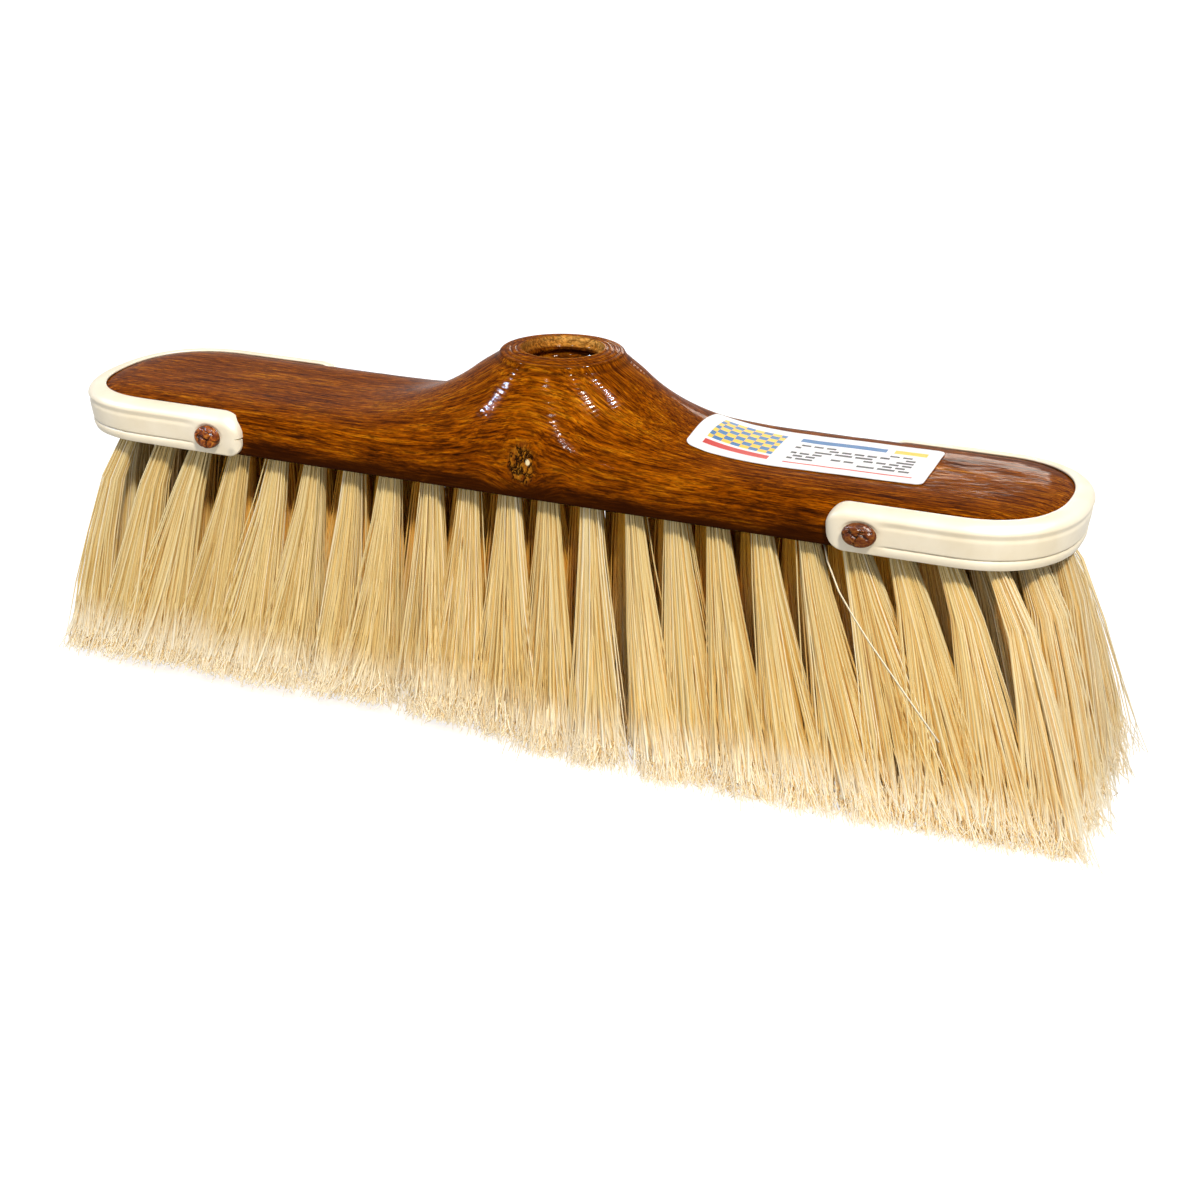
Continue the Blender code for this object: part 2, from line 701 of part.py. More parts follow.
def add_label():
    """The label is a sheet that follows the wood, made solid away from it."""
    bm = bmesh.new()
    rows = []
    for j in range(LABEL_WIDE_STEPS + 1):
        row = []
        for i in range(LABEL_LONG_STEPS + 1):
            across = 2 * i / LABEL_LONG_STEPS - 1
            up = 2 * j / LABEL_WIDE_STEPS - 1
            corner = LABEL_CORNER if abs(across) == 1 and abs(up) == 1 else 0
            x = LABEL_CENTRE_X + across * (LABEL_LENGTH / 2 - corner)
            y = LABEL_CENTRE_Y + up * (LABEL_WIDTH / 2 - corner)
            row.append(bm.verts.new((x, y, UNDERSIDE + top_height(x, y) + 2 * SEAT_GAP)))
        rows.append(row)
    for lower, upper in zip(rows, rows[1:]):
        for i in range(LABEL_LONG_STEPS):
            bm.faces.new((lower[i], lower[i + 1], upper[i + 1], upper[i]))
    label = add_object("label", mesh_from(bm, "label"), PARTS, LABEL_PAPER)
    solid = label.modifiers.new("paper", "SOLIDIFY")
    solid.thickness = LABEL_THICKNESS
    solid.offset = 1


def main():
    add_block()
    tip_plane = add_tip_plane()
    for name, y, places in ROWS:
        add_row(name, y, places, tip_plane)
    add_pegs()
    add_bumpers()
    add_label()


main()
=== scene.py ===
# %% [markdown]
# # A broom head, from its frame to its finish
# The object is the head of a sweeping broom: a shaped and varnished hardwood block with a threaded socket for
# the handle, five staggered rows of soft bristle tufts, a rubber bumper round each end, four pegs that hold
# the bumpers, and a paper label. Its solids are already measured and packed, so the lesson starts by loading
# them as a fixed frame. Each later step builds the skin that is seen over one of those solids, in its place.

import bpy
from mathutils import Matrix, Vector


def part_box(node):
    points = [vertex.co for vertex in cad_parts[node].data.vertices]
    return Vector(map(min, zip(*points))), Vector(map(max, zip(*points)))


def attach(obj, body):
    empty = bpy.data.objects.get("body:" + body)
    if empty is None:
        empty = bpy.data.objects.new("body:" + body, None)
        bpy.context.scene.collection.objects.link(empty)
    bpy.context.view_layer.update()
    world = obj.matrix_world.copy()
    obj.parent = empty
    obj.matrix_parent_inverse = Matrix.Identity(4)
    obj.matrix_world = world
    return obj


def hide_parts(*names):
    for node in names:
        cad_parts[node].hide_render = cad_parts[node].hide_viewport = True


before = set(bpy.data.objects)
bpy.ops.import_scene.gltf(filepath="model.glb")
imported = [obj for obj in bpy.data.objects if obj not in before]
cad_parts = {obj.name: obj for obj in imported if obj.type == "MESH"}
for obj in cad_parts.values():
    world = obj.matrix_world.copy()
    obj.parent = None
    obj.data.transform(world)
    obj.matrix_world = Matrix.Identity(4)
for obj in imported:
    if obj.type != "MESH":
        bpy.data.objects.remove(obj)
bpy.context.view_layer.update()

# %% Tools, and the block's own box
import math
import random

import bmesh
import bpy
from mathutils import Matrix, Vector, noise

MM = 0.001
BODY = "root"
block_low, block_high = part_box("block")
HALF_LENGTH, HALF_WIDTH = block_high.x, block_high.y
# The wood's lip stands a little over the solid's flat rim.
UNDERSIDE, RIM_TOP = block_low.z, block_high.z + 0.8 * MM
# The same two heights in millimetres, for the materials.
FOOT, TOP = UNDERSIDE / MM, RIM_TOP / MM
print("half block in mm:", [round(half / MM, 1) for half in (HALF_LENGTH, HALF_WIDTH)], "rim", round(TOP, 1))

# %% [markdown]
# ## Colours and nodes
# Paint charts and photographs give colours as sRGB hex numbers, but a shader works in linear light, so one
# function turns the first into the second. A material or a geometry tree is a graph of nodes, and one small
# function adds a node of any kind, with its settings. Its inputs are filled or linked in the order of its
# sockets, or by their names. A node can stand where an input wants a socket, and its first output in use is
# taken. Many values pass through a chain of nodes, each with the one before as its first input.

# %% One function for colour, one for nodes
def linear(colour):
    """The linear red, green, blue and alpha of an sRGB hex colour."""
    channels = [(colour >> shift & 255) / 255 for shift in (16, 8, 0)]
    return [c / 12.92 if c <= 0.04045 else ((c + 0.055) / 1.055) ** 2.4 for c in channels] + [1]


def fill(node, inputs):
    """Sets or links a node's inputs, given in the order of its sockets in use, or by name in a dict."""
    sockets = [s for s in node.inputs if s.enabled]
    if isinstance(inputs, dict):
        sockets = [next(s for s in sockets if s.name == name) for name in inputs]
        inputs = inputs.values()
    for socket, value in zip(sockets, inputs):
        if isinstance(value, bpy.types.Node):
            value = next(s for s in value.outputs if s.enabled)
        if isinstance(value, bpy.types.NodeSocket):
            node.id_data.links.new(value, socket)
        elif socket.type == "RGBA":
            socket.default_value = linear(value)
        else:
            socket.default_value = value


# A kind may name one more setting after a space, as "Math ADD" does: the first of these that the node has.
MODES = ("operation", "interpolation_type", "feature", "wave_type", "data_type")


def add_node(tree, kind, *inputs, stops=(), **settings):
    """A new node. Its inputs are values, sockets, nodes, or one dict. Stops fill a ramp, its ends first."""
    name, _, mode = kind.partition(" ")
    made = tree.nodes.new(name if "Node" in name else "ShaderNode" + name)
    if mode:
        settings[next(m for m in MODES if hasattr(made, m))] = mode
    for setting, value in settings.items():
        setattr(made, setting, value)
    fill(made, inputs[0] if inputs and isinstance(inputs[0], dict) else inputs)
    for i, (position, colour) in enumerate(stops):
        ramp = made.color_ramp.elements
        stop = ramp[i] if i < 2 else ramp.new(position)
        stop.position = position
        stop.color = linear(colour)
    return made


def chain(tree, value, *steps):
    """Sends a value through a row of nodes. Each step is a kind and the inputs that follow the first one."""
    for kind, *more in steps:
        value = add_node(tree, kind, value, *more)
    return value


def new_material(name):
    """A material, its node tree, its Principled shader, and the place on the object in millimetres."""
    made = bpy.data.materials.new(name)
    made.use_nodes = True
    tree = made.node_tree
    place = add_node(tree, "TexCoord").outputs["Object"]
    return made, tree, tree.nodes["Principled BSDF"], add_node(tree, "VectorMath SCALE", place, 1 / MM)


print("mid grey in linear light:", round(linear(0x808080)[0], 3))

# %% [markdown]
# ## Varnished hardwood
# The block is a pale hardwood such as beech, stained a warm brown and dipped in clear varnish. Beech has fine
# straight fibres along its length, with short dark flecks, and the stain sinks unevenly into it, so amber
# patches lie beside dark ones. The varnish is what the eye sees first: a clear coat with sharp reflections.
# The pattern is made of stretched noise, in millimetres of the object's own space, because a real board's
# grain runs through the whole solid and so meets each face where it should.

# %% The way of the grain
wood, tree, shader, in_mm = new_material("varnished_beech")
parts_mm = add_node(tree, "SeparateXYZ", in_mm).outputs

# The blank's fibres sweep up towards the boss, so near it the grain is read from lower down.
SWEEP_NEAR, SWEEP_FAR, SWEEP_DROP = 12, 75, 14
high_up = add_node(tree, "MapRange", parts_mm["Z"], FOOT + 2, FOOT + 33, 0, -SWEEP_DROP)
sweep = ("MapRange", SWEEP_NEAR, SWEEP_FAR, 1, 0)
rise = chain(tree, parts_mm["X"], ("Math ABSOLUTE",), sweep, ("Math POWER", 3), ("Math MULTIPLY", high_up))
swept = add_node(tree, "VectorMath ADD", in_mm, add_node(tree, "CombineXYZ", 0, 0, rise))

# Fibres bend round the knot in the front, as they do in the tree round the foot of a branch.
KNOT, KNOT_SIZE = (0.5, -26.4, FOOT + 9.4), (3.6, 8, 5.4)
from_knot = add_node(tree, "VectorMath SUBTRACT", in_mm, KNOT)
knot_oval = add_node(tree, "VectorMath DIVIDE", from_knot, KNOT_SIZE)
knot_reach = add_node(tree, "VectorMath LENGTH", knot_oval)
bend = add_node(tree, "MapRange SMOOTHSTEP", knot_reach, 0.6, 3.6, -0.32, 0)
bent = chain(tree, from_knot, ("VectorMath MULTIPLY", (0, 0.4, 1)), ("VectorMath SCALE", bend))
grain_place = add_node(tree, "VectorMath ADD", swept, bent)

# Over the length of a hand the fibres wander sideways.
SWAY = 7
sway = add_node(tree, "VectorMath MULTIPLY", grain_place, (0.012, 0.03, 0.03))
sway = add_node(tree, "TexNoise", {"Vector": sway, "Scale": 1, "Detail": 2}).outputs["Color"]
sway = add_node(tree, "VectorMath MULTIPLY_ADD", sway, (0, SWAY, SWAY), (0, -SWAY / 2, -SWAY / 2))
grain_place = add_node(tree, "VectorMath ADD", grain_place, sway)
print("knot at", [round(c, 1) for c in KNOT], "mm")

# %% The stain in the grain
# Lengths and widths of each layer of the grain, in millimetres, and its share in the depth of the stain.
GRAIN = {"patches": (34, 9), "streaks": (28, 1), "figure": (9, 0.6), "cracks": (18, 0.5), "fibres": (3, 0.36)}
SHARES = {"streaks": 0.36, "patches": 0.26, "figure": 0.38}
grain = {}
for layer, (long, wide) in GRAIN.items():
    scaled = add_node(tree, "Mapping", {"Vector": grain_place, "Scale": (1 / long, 1 / wide, 1 / wide)})
    grain[layer] = add_node(
        tree, "TexNoise", {"Vector": scaled, "Scale": 1, "Detail": 4, "Roughness": 0.66, "Distortion": 0.4}
    )
# The lower the face, the darker the stain: painted shade on the low faces.
depth = add_node(tree, "MapRange", parts_mm["Z"], FOOT + 2, FOOT + 22, -0.045, 0)
for layer, part in SHARES.items():
    depth = add_node(tree, "Math MULTIPLY_ADD", grain[layer], part, depth)
stain = add_node(
    tree, "ValToRGB", depth,
    stops=[(0.38, 0x421A00), (0.64, 0xC88212), (0.45, 0x743600), (0.51, 0x944C02), (0.57, 0xAC6408)],
)
fibre_shade = add_node(tree, "MapRange", grain["fibres"], 0.38, 0.64, 0.36, 1.36)
stain = add_node(tree, "VectorMath SCALE", stain, fibre_shade)

# What lies over the stain, marks and painted light and shade, is gathered here, from the first layer to the
# last: where it lies, and its colour.
over_stain = [(add_node(tree, "MapRange", grain["cracks"], 0.59, 0.63, 0, 0.85), 0x3A1702)]

# Low on the side the wood is painted darker still, as painted shade. Patches of the grain make its rim wavy.
LOW_SHADE_START, LOW_SHADE_END, LOW_SHADE_WAVE = 6, 11, 9
wavy = add_node(tree, "Math MULTIPLY_ADD", grain["patches"], LOW_SHADE_WAVE, parts_mm["Z"])
low_painted_shade = add_node(tree, "MapRange SMOOTHSTEP", wavy, FOOT + LOW_SHADE_START, FOOT + LOW_SHADE_END, 0.93, 0)
over_stain.append((low_painted_shade, 0x2A0E00))
print("layers of grain:", ", ".join(grain), "- the drip edge ends", LOW_SHADE_END - LOW_SHADE_WAVE / 2, "mm up")

# %% The lathe's marks
# Dark stain lies in a groove that the lathe left under the rim, and in the rings on the flat of the rim.
RIM_GROOVE, RIM_RING_PITCH, RIM_FLAT, MOUTH_REACH = 2.7, 1.45, 1.3, 11.25
from_groove = chain(tree, parts_mm["Z"], ("Math SUBTRACT", TOP - RIM_GROOVE), ("Math ABSOLUTE",))
in_groove = add_node(tree, "MapRange", from_groove, 0.1, 0.7, 0.5, 0)
axis_reach = chain(tree, in_mm, ("VectorMath MULTIPLY", (1, 1, 0)), ("VectorMath LENGTH",))
on_rim = add_node(tree, "Math GREATER_THAN", parts_mm["Z"], TOP - RIM_FLAT)
marks = chain(
    tree, axis_reach, ("Math MULTIPLY", 2 * math.pi / RIM_RING_PITCH), ("Math SINE",),
    ("MapRange", 0.2, 0.9, 0, 0.55), ("Math MULTIPLY", on_rim), ("Math MAXIMUM", in_groove),
)
over_stain.append((marks, 0x3A1602))

# Inside the mouth the colour is painted light and shade: bright amber on the lit wall just under the rim,
# nearly black in places further down the bore, and less of the amber on the shaded left side.
bore_painted_light_and_shade = add_node(
    tree, "ValToRGB", add_node(tree, "MapRange", parts_mm["Z"], TOP - 6, TOP),
    stops=[(0, 0x2A1004), (1, 0xB97C2C), (0.52, 0x3A1806), (0.62, 0xF0A848), (0.92, 0xF6BC64)],
)
bore_painted_light_and_shade = add_node(tree, "VectorMath SCALE", bore_painted_light_and_shade, fibre_shade)
# Painted shadow: the shaded left side of the bore takes less of the painted amber.
bore_lit_side = add_node(tree, "MapRange", parts_mm["X"], -9.5, -3, 0.25, 0.82)
torn = add_node(tree, "TexNoise", {"Vector": in_mm, "Scale": 1 / 1.6, "Detail": 3, "Distortion": 1})
torn = add_node(tree, "MapRange", torn, 0.36, 0.5, 0.5, 1)
in_mouth = chain(
    tree, axis_reach, ("Math LESS_THAN", MOUTH_REACH), ("Math MULTIPLY", bore_lit_side), ("Math MULTIPLY", torn)
)
over_stain.append((in_mouth, bore_painted_light_and_shade))
print("groove", RIM_GROOVE, "mm under the rim, rings every", RIM_RING_PITCH, "mm")

# %% The knot
rough_edge = add_node(tree, "TexNoise", {"Vector": knot_oval, "Scale": 1.6, "Detail": 4, "Roughness": 0.7})
knot_ring = add_node(tree, "Math MULTIPLY_ADD", rough_edge, 1.5, knot_reach)
warp = add_node(tree, "VectorMath MULTIPLY_ADD", rough_edge.outputs["Color"], (1.6, 1.6, 1.6), knot_oval)
splits = add_node(tree, "TexVoronoi DISTANCE_TO_EDGE", {"Vector": warp, "Scale": 1.15})
knot_lines = add_node(tree, "MapRange", splits, 0.02, 0.11)
knot_colour = add_node(
    tree, "ValToRGB", rough_edge,
    stops=[(0.4, 0x6A3206), (0.66, 0xD8A04A), (0.55, 0xA86A18), (0.61, 0xB87A22)],
)
knot_colour = add_node(tree, "Mix RGBA", knot_lines, 0x1B0A02, knot_colour)
# A pale chip has come out beside the knot's middle.
CHIP = (1.7, 0, 0.6)
chip = chain(
    tree, from_knot, ("VectorMath SUBTRACT", CHIP), ("VectorMath MULTIPLY", (1, 0.2, 0.8)),
    ("VectorMath LENGTH",), ("MapRange", 0.8, 0.5),
)
knot_colour = add_node(tree, "Mix RGBA", chip, knot_colour, 0xF2E2B4)
in_knot = add_node(tree, "MapRange", knot_ring, 1.85, 1.6)
over_stain.append((in_knot, knot_colour))
for where, colour in over_stain:
    stain = add_node(tree, "Mix RGBA", where, stain, colour)
print("layers over the stain:", len(over_stain))

# %% [markdown]
# Varnish and wood both have an index of refraction near 1.5, so hardly any light turns back where they meet,
# and the base under the coat is given no reflection of its own. The coat is nearly smooth and reflects as
# glass does, most at a grazing angle. It is a thin one here, with a low index, for a full one would turn this
# saturated brown grey under a white sky. Fine fibres are a bump in the wood alone. Slow waves and faint
# turning rings are a bump in the coat, where the brush and the lathe left them, and they break the highlights
# on the boss into rungs.

# %% The clear coat and its marks
TURNING_PITCH = 0.9
fibre_bump = add_node(tree, "Bump", {"Height": grain["fibres"], "Strength": 0.35, "Distance": 0.12 * MM})
crack_bump = add_node(
    tree, "Bump", {"Height": knot_lines, "Strength": in_knot, "Distance": 0.35 * MM, "Normal": fibre_bump}
)
rings = add_node(
    tree, "TexWave RINGS",
    {"Vector": in_mm, "Scale": math.pi / 10 / TURNING_PITCH, "Distortion": 0.6, "Detail": 1},
    rings_direction="Z",
)
on_boss = add_node(tree, "MapRange SMOOTHSTEP", axis_reach, 32, 20, 0, 0.22)
ring_bump = add_node(tree, "Bump", {"Height": rings, "Strength": on_boss, "Distance": 0.1 * MM})
coat_place = add_node(tree, "VectorMath MULTIPLY", in_mm, (0.16, 0.24, 0.24))
coat_waves = add_node(tree, "TexNoise", {"Vector": coat_place, "Scale": 1, "Detail": 3})
coat_bump = add_node(
    tree, "Bump", {"Height": coat_waves, "Strength": 0.4, "Distance": 0.3 * MM, "Normal": ring_bump}
)
fill(shader, {"Base Color": stain, "Roughness": 0.42, "IOR": 1.5, "Specular IOR Level": 0})
fill(shader, {"Coat Weight": 0.25, "Coat IOR": 1.12, "Coat Roughness": 0.09})
fill(shader, {"Normal": crack_bump, "Coat Normal": coat_bump})
print("turning rings every", TURNING_PITCH, "mm")

# %% [markdown]
# ## The block
# On a copy lathe the block is shaped all round and its boss is turned. Seen from above it is a straight bar
# with rounded ends, which a superellipse draws in one line of maths. Its top is a rule too: a height for each
# place, made of a rounded shoulder, a crown and a flare that climbs to the rim. Rings of points that follow
# the rule from the underside up to the rim, and on down the bore, give one closed skin with even faces.

# %% The rule of the block's surface
END_DEPTH, END_EXPONENT = 24 * MM, 2.3
SIDE_HEIGHT, CROWN_RISE = 8.8 * MM, 4 * MM
SHOULDER_WIDTH, SHOULDER_EXPONENT = 14 * MM, 2.2
RIM_RADIUS = 16.45 * MM
FLARE_LONG, FLARE_WIDE, FLARE_EXPONENT = 75 * MM, 45 * MM, 3.05
RIM_DROP, RIM_EASE, RIM_BLEND = 0.8 * MM, 0.7 * MM, 7 * MM
STRAIGHT = HALF_LENGTH - END_DEPTH


def smoothstep(value, start, end):
    """0 at the start, 1 at the end, with an even slope between. The end may be the smaller number."""
    share = min(max((value - start) / (end - start), 0), 1)
    return share * share * (3 - 2 * share)


def shoulder(inset):
    """How much of the crown has risen at a distance in from the outline, from 0 to 1."""
    left = max(1 - inset / SHOULDER_WIDTH, 0)
    return (1 - left**SHOULDER_EXPONENT) ** (1 / SHOULDER_EXPONENT)


def top_height(x, y):
    """Height of the wood's upper surface over its underside."""
    end = max(abs(x) - STRAIGHT, 0) / END_DEPTH
    reach = (end**END_EXPONENT + (abs(y) / HALF_WIDTH) ** END_EXPONENT) ** (1 / END_EXPONENT)
    risen = shoulder(max(1 - reach, 0) * HALF_WIDTH)
    bearing = math.atan2(y, x)
    flare = 1 / math.hypot(math.cos(bearing) / FLARE_LONG, math.sin(bearing) / FLARE_WIDE)
    share = min(max((math.hypot(x, y) - RIM_RADIUS) / (flare - RIM_RADIUS), 0), 1)
    boss = (RIM_TOP - UNDERSIDE - SIDE_HEIGHT - CROWN_RISE) * (1 - share) ** FLARE_EXPONENT
    height = SIDE_HEIGHT + CROWN_RISE * risen + boss * (1 - share * (1 - risen))
    top = RIM_TOP - UNDERSIDE
    return height - (RIM_DROP + RIM_EASE) * smoothstep(height, top - RIM_BLEND, top)


print("crown over the underside in mm:", round(top_height(100 * MM, 0) / MM, 2))

# %% The outline from above, and the circle of the rim
END_STEPS, SIDE_STEPS = 22, 120


def end_point(turn, scale):
    """A point of the right end: turn is 0 at its tip and 1 where it meets the back side."""
    out = max(math.cos(turn * math.pi / 2), 0) ** (2 / END_EXPONENT)
    across = math.sin(turn * math.pi / 2) ** (2 / END_EXPONENT)
    return STRAIGHT + END_DEPTH * scale * out, HALF_WIDTH * scale * across


def block_outline(inset):
    """The outline drawn in by inset, anticlockwise from the right tip, with more points near the boss."""
    quarter = [end_point(i / END_STEPS, 1 - inset / HALF_WIDTH) for i in range(END_STEPS + 1)]
    shares = [1 - 2 * i / SIDE_STEPS for i in range(1, SIDE_STEPS)]
    side = [(STRAIGHT * (0.5 * s + 0.5 * s**3), quarter[-1][1]) for s in shares]
    back = quarter + side + [(-x, y) for x, y in reversed(quarter)]
    return back + [(x, -y) for x, y in reversed(back[1:-1])]


edge = block_outline(0)
steps = [math.dist(a, b) for a, b in zip(edge, edge[1:] + edge[:1])]
bearings = [2 * math.pi * sum(steps[:i]) / sum(steps) for i in range(len(steps))]


def circle(radius, height):
    """One point for each point of the outline, on a circle about the socket's axis."""
    return [(radius * math.cos(a), radius * math.sin(a), height) for a in bearings]


print("points in each ring:", len(edge), "outline in mm:", round(sum(steps) / MM))

# %% What a maker's hand adds
LONGER_LEFT = 1.5 * MM


def lengthened(point):
    """The left end was sawn and moulded a little longer than the right one."""
    x, y, z = point
    return x - LONGER_LEFT * smoothstep(-x, 100 * MM, 134 * MM), y, z


def waver(point):
    """Wood is never quite true: slow waves of a tenth of a millimetre, the knot's face, the rim's groove."""
    x, y, z = point
    place = Vector(point)
    off = 0.13 * MM * noise.noise(place / (11 * MM)) + 0.05 * MM * noise.noise(place / (4 * MM))
    sunk = Vector(((x - KNOT[0] * MM) / (4 * MM), (z - KNOT[2] * MM) / (6 * MM), 0)).length
    if y < 0 and sunk < 1.6:
        off += (0.35 * noise.noise(place / (1.3 * MM)) - 0.3) * MM * smoothstep(sunk, 1.4, 0.5)
    inwards = 1 - off / HALF_WIDTH
    cut = 0.3 * MM * math.exp(-(((RIM_TOP - z) / MM - RIM_GROOVE) ** 2) / 0.12)
    turned = 1 - cut / max(math.hypot(x, y), RIM_RADIUS)
    return x * turned, y / inwards * turned, z + off * 0.6


print("the left end is", LONGER_LEFT / MM, "mm longer")

# %% Rings from the underside to the rim
FOOT_ROUND, SHOULDER_RINGS, LOFT_RINGS = 0.9 * MM, 15, 40
rings_of_block = []
# The foot's edge is rounded in three rings, each an inset and a height, and keeps true.
for inset, height in ((0.9, 0), (0.45, 0.12), (0.12, 0.45)):
    rings_of_block.append([(x, y, UNDERSIDE + height * MM) for x, y in block_outline(inset * MM)])
upper = [[(x, y, FOOT_ROUND + 1.13 * i * MM) for x, y in edge] for i in range(7)]
for k in range(SHOULDER_RINGS):
    inset = SHOULDER_WIDTH / 2 * (k / (SHOULDER_RINGS - 1)) ** 2.2
    upper.append([(x, y, top_height(x, y)) for x, y in block_outline(inset)])
inner, rim_circle = upper[-1], circle(RIM_RADIUS, 0)
for k in range(1, LOFT_RINGS):
    share = 1 - (1 - k / LOFT_RINGS) ** 1.6
    ring = [(a + (c - a) * share, b + (d - b) * share) for (a, b, _), (c, d, _) in zip(inner, rim_circle)]
    upper.append([(x, y, top_height(x, y)) for x, y in ring])
rings_of_block += [[waver((x, y, UNDERSIDE + z)) for x, y, z in ring] for ring in upper]
rings_of_block = [[lengthened(point) for point in ring] for ring in rings_of_block]
print("rings up to the rim:", len(rings_of_block))

# %% Rings over the rim and down the threaded bore
MOUTH_RADIUS, BORE_RADIUS, BORE_DEPTH = 11 * MM, 9.9 * MM, 22 * MM
THREAD_PITCH, THREAD_DEPTH, BORE_TOP = 4.6 * MM, 1.4 * MM, RIM_TOP - 3 * MM
for turn in (math.radians(angle) for angle in (0, 30, 60, 90)):
    out = RIM_RADIUS - RIM_EASE * (1 - math.cos(turn))
    rings_of_block.append(circle(out, RIM_TOP - RIM_DROP - RIM_EASE * (1 - math.sin(turn))))
for share in (k / 24 for k in range(1, 25)):
    radius = RIM_RADIUS - RIM_EASE + (MOUTH_RADIUS - RIM_RADIUS + RIM_EASE) * share
    groove = 0.5 + 0.5 * math.sin(2 * math.pi * radius / MM / RIM_RING_PITCH)
    rings_of_block.append(circle(radius, RIM_TOP - RIM_DROP * (1 - share) ** 1.5 - 0.2 * MM * groove**2))
# A plain wall for two millimetres, then a step in to the thread. Each pair is a depth and a distance inwards.
for deep, inwards in ((0.3, 0.12), (0.7, 0.25), (1.3, 0.3), (1.9, 0.36), (2.4, 0.5), (2.7, 0.8)):
    rings_of_block.append(circle(MOUTH_RADIUS - inwards * MM, RIM_TOP - deep * MM))
BORE_STEPS = 52
for share in (k / BORE_STEPS for k in range(1, BORE_STEPS + 1)):
    z = BORE_TOP + (RIM_TOP - BORE_DEPTH - BORE_TOP) * share
    fade = smoothstep(share, 0, 0.08) * smoothstep(share, 1, 0.9)
    ring = []
    for a in bearings:
        phase = (z / THREAD_PITCH + a / (2 * math.pi)) % 1
        radius = BORE_RADIUS + THREAD_DEPTH * fade * (0.5 - 0.5 * math.cos(2 * math.pi * phase)) ** 1.4
        ring.append((radius * math.cos(a), radius * math.sin(a), z))
    rings_of_block.append(ring)
# Two rings close in on the floor of the bore.
for radius in (6, 2.5):
    rings_of_block.append(circle(radius * MM, RIM_TOP - BORE_DEPTH - 0.4 * MM))
print("turns of thread:", round((BORE_DEPTH - 2 * MM) / THREAD_PITCH, 1))

# %% One closed skin
def in_scene(name, data):
    """A new object in the scene."""
    made = bpy.data.objects.new(name, data)
    bpy.context.scene.collection.objects.link(made)
    return made


def skin(name, rings, finish, smooth_angle=40):
    """A closed piece from rings of equal length, with its two ends capped and its faces turned outwards."""
    count = len(rings[0])
    points = [point for ring in rings for point in ring]
    faces = [tuple(range(count)), tuple(range(len(points) - count, len(points)))]
    for low in range(0, len(points) - count, count):
        last = low + count - 1
        sides = zip([last, *range(low, last)], range(low, last + 1))
        faces += [(a, b, b + count, a + count) for a, b in sides]
    mesh = bpy.data.meshes.new(name)
    mesh.from_pydata(points, [], faces)
    return finished(name, mesh, finish, smooth_angle)


def finished(name, mesh, finish, smooth_angle=40):
    """The object of a mesh: doubles merged, faces outwards, its material, and edges sharp past an angle."""
    bm = bmesh.new()
    bm.from_mesh(mesh)
    bmesh.ops.remove_doubles(bm, verts=bm.verts, dist=0.002 * MM)
    bmesh.ops.recalc_face_normals(bm, faces=bm.faces)
    bm.to_mesh(mesh)
    bm.free()
    mesh.materials.clear()
    mesh.materials.append(finish)
    mesh.shade_smooth()
    mesh.set_sharp_from_angle(angle=math.radians(smooth_angle))
    return in_scene(name, mesh)


block = skin("broom_block", rings_of_block, wood)
print("block faces:", len(block.data.polygons))

# %% [markdown]
# The underside is drilled for the tufts and the sides for the pegs. A drill is a cylinder, and a Boolean
# takes it out of the wood as the machine does, which is simpler than leaving holes in the rings. The tufts
# stand in five rows, each shifted by half a pitch from the next, so that no gap runs right through the brush.

# %% Where the tufts stand
TUFT_PITCH, ROW_PITCH, END_MARGIN, TUFT_RADIUS = 11.35 * MM, 10.2 * MM, 6 * MM, 2.25 * MM
ROWS = {}
for i, row in enumerate(("front_outer", "front_inner", "centre", "back_inner", "back_outer")):
    y = (i - 2) * ROW_PITCH
    end = (1 - (abs(y) / HALF_WIDTH) ** END_EXPONENT) ** (1 / END_EXPONENT)
    offset = 0.5 if i % 2 == 0 else 0
    most = math.floor((STRAIGHT + END_DEPTH * end - END_MARGIN) / TUFT_PITCH - offset)
    right = [(k + offset) * TUFT_PITCH for k in range(most + 1)]
    ROWS[row] = [(x, y) for x in [-x for x in reversed(right) if x > 0] + right]
print("tufts in each row:", {row: len(places) for row, places in ROWS.items()})

# %% Drilling
PEG_X, PEG_Z, PEG_SHANK, PEG_BORE = 8 * TUFT_PITCH, UNDERSIDE + 5.3 * MM, 2.2 * MM, 2.4 * MM
CORNERS = [(sign, side) for sign in (-1, 1) for side in (-1, 1)]


def evaluated(owner):
    """The mesh that an object's modifiers make."""
    return bpy.data.meshes.new_from_object(owner.evaluated_get(bpy.context.evaluated_depsgraph_get()))


def drill(target, drills):
    """Takes cylinders out of the target. Each drill is a radius, a matrix for its place, and its length."""
    bm = bmesh.new()
    for radius, matrix, length in drills:
        bmesh.ops.create_cone(
            bm, cap_ends=True, segments=20, radius1=radius, radius2=radius, depth=length, matrix=matrix
        )
    cutter_mesh = bpy.data.meshes.new("drills")
    bm.to_mesh(cutter_mesh)
    bm.free()
    cutter = in_scene("drills", cutter_mesh)
    cut = target.modifiers.new("drilling", "BOOLEAN")
    cut.solver = "EXACT"
    cut.object = cutter
    whole = evaluated(target)
    target.modifiers.remove(cut)
    bpy.data.objects.remove(cutter)
    target.data = whole


def across(x, side, inner_y, outer_y):
    """The place of a drill along Y at a peg, from inner_y to outer_y on one side of the block."""
    turn = Matrix.Rotation(math.pi / 2, 4, "X")
    return Matrix.Translation((x, side * (inner_y + outer_y) / 2, PEG_Z)) @ turn


tuft_places = [Matrix.Translation((x, y, UNDERSIDE + 2 * MM)) for places in ROWS.values() for x, y in places]
holes = [(TUFT_RADIUS, place, 10 * MM) for place in tuft_places]
holes += [(PEG_BORE, across(sign * PEG_X, side, 14 * MM, 30 * MM), 16 * MM) for sign, side in CORNERS]
drill(block, holes)
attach(block, BODY)
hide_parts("block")
print("holes drilled:", len(holes), "faces now:", len(block.data.polygons))
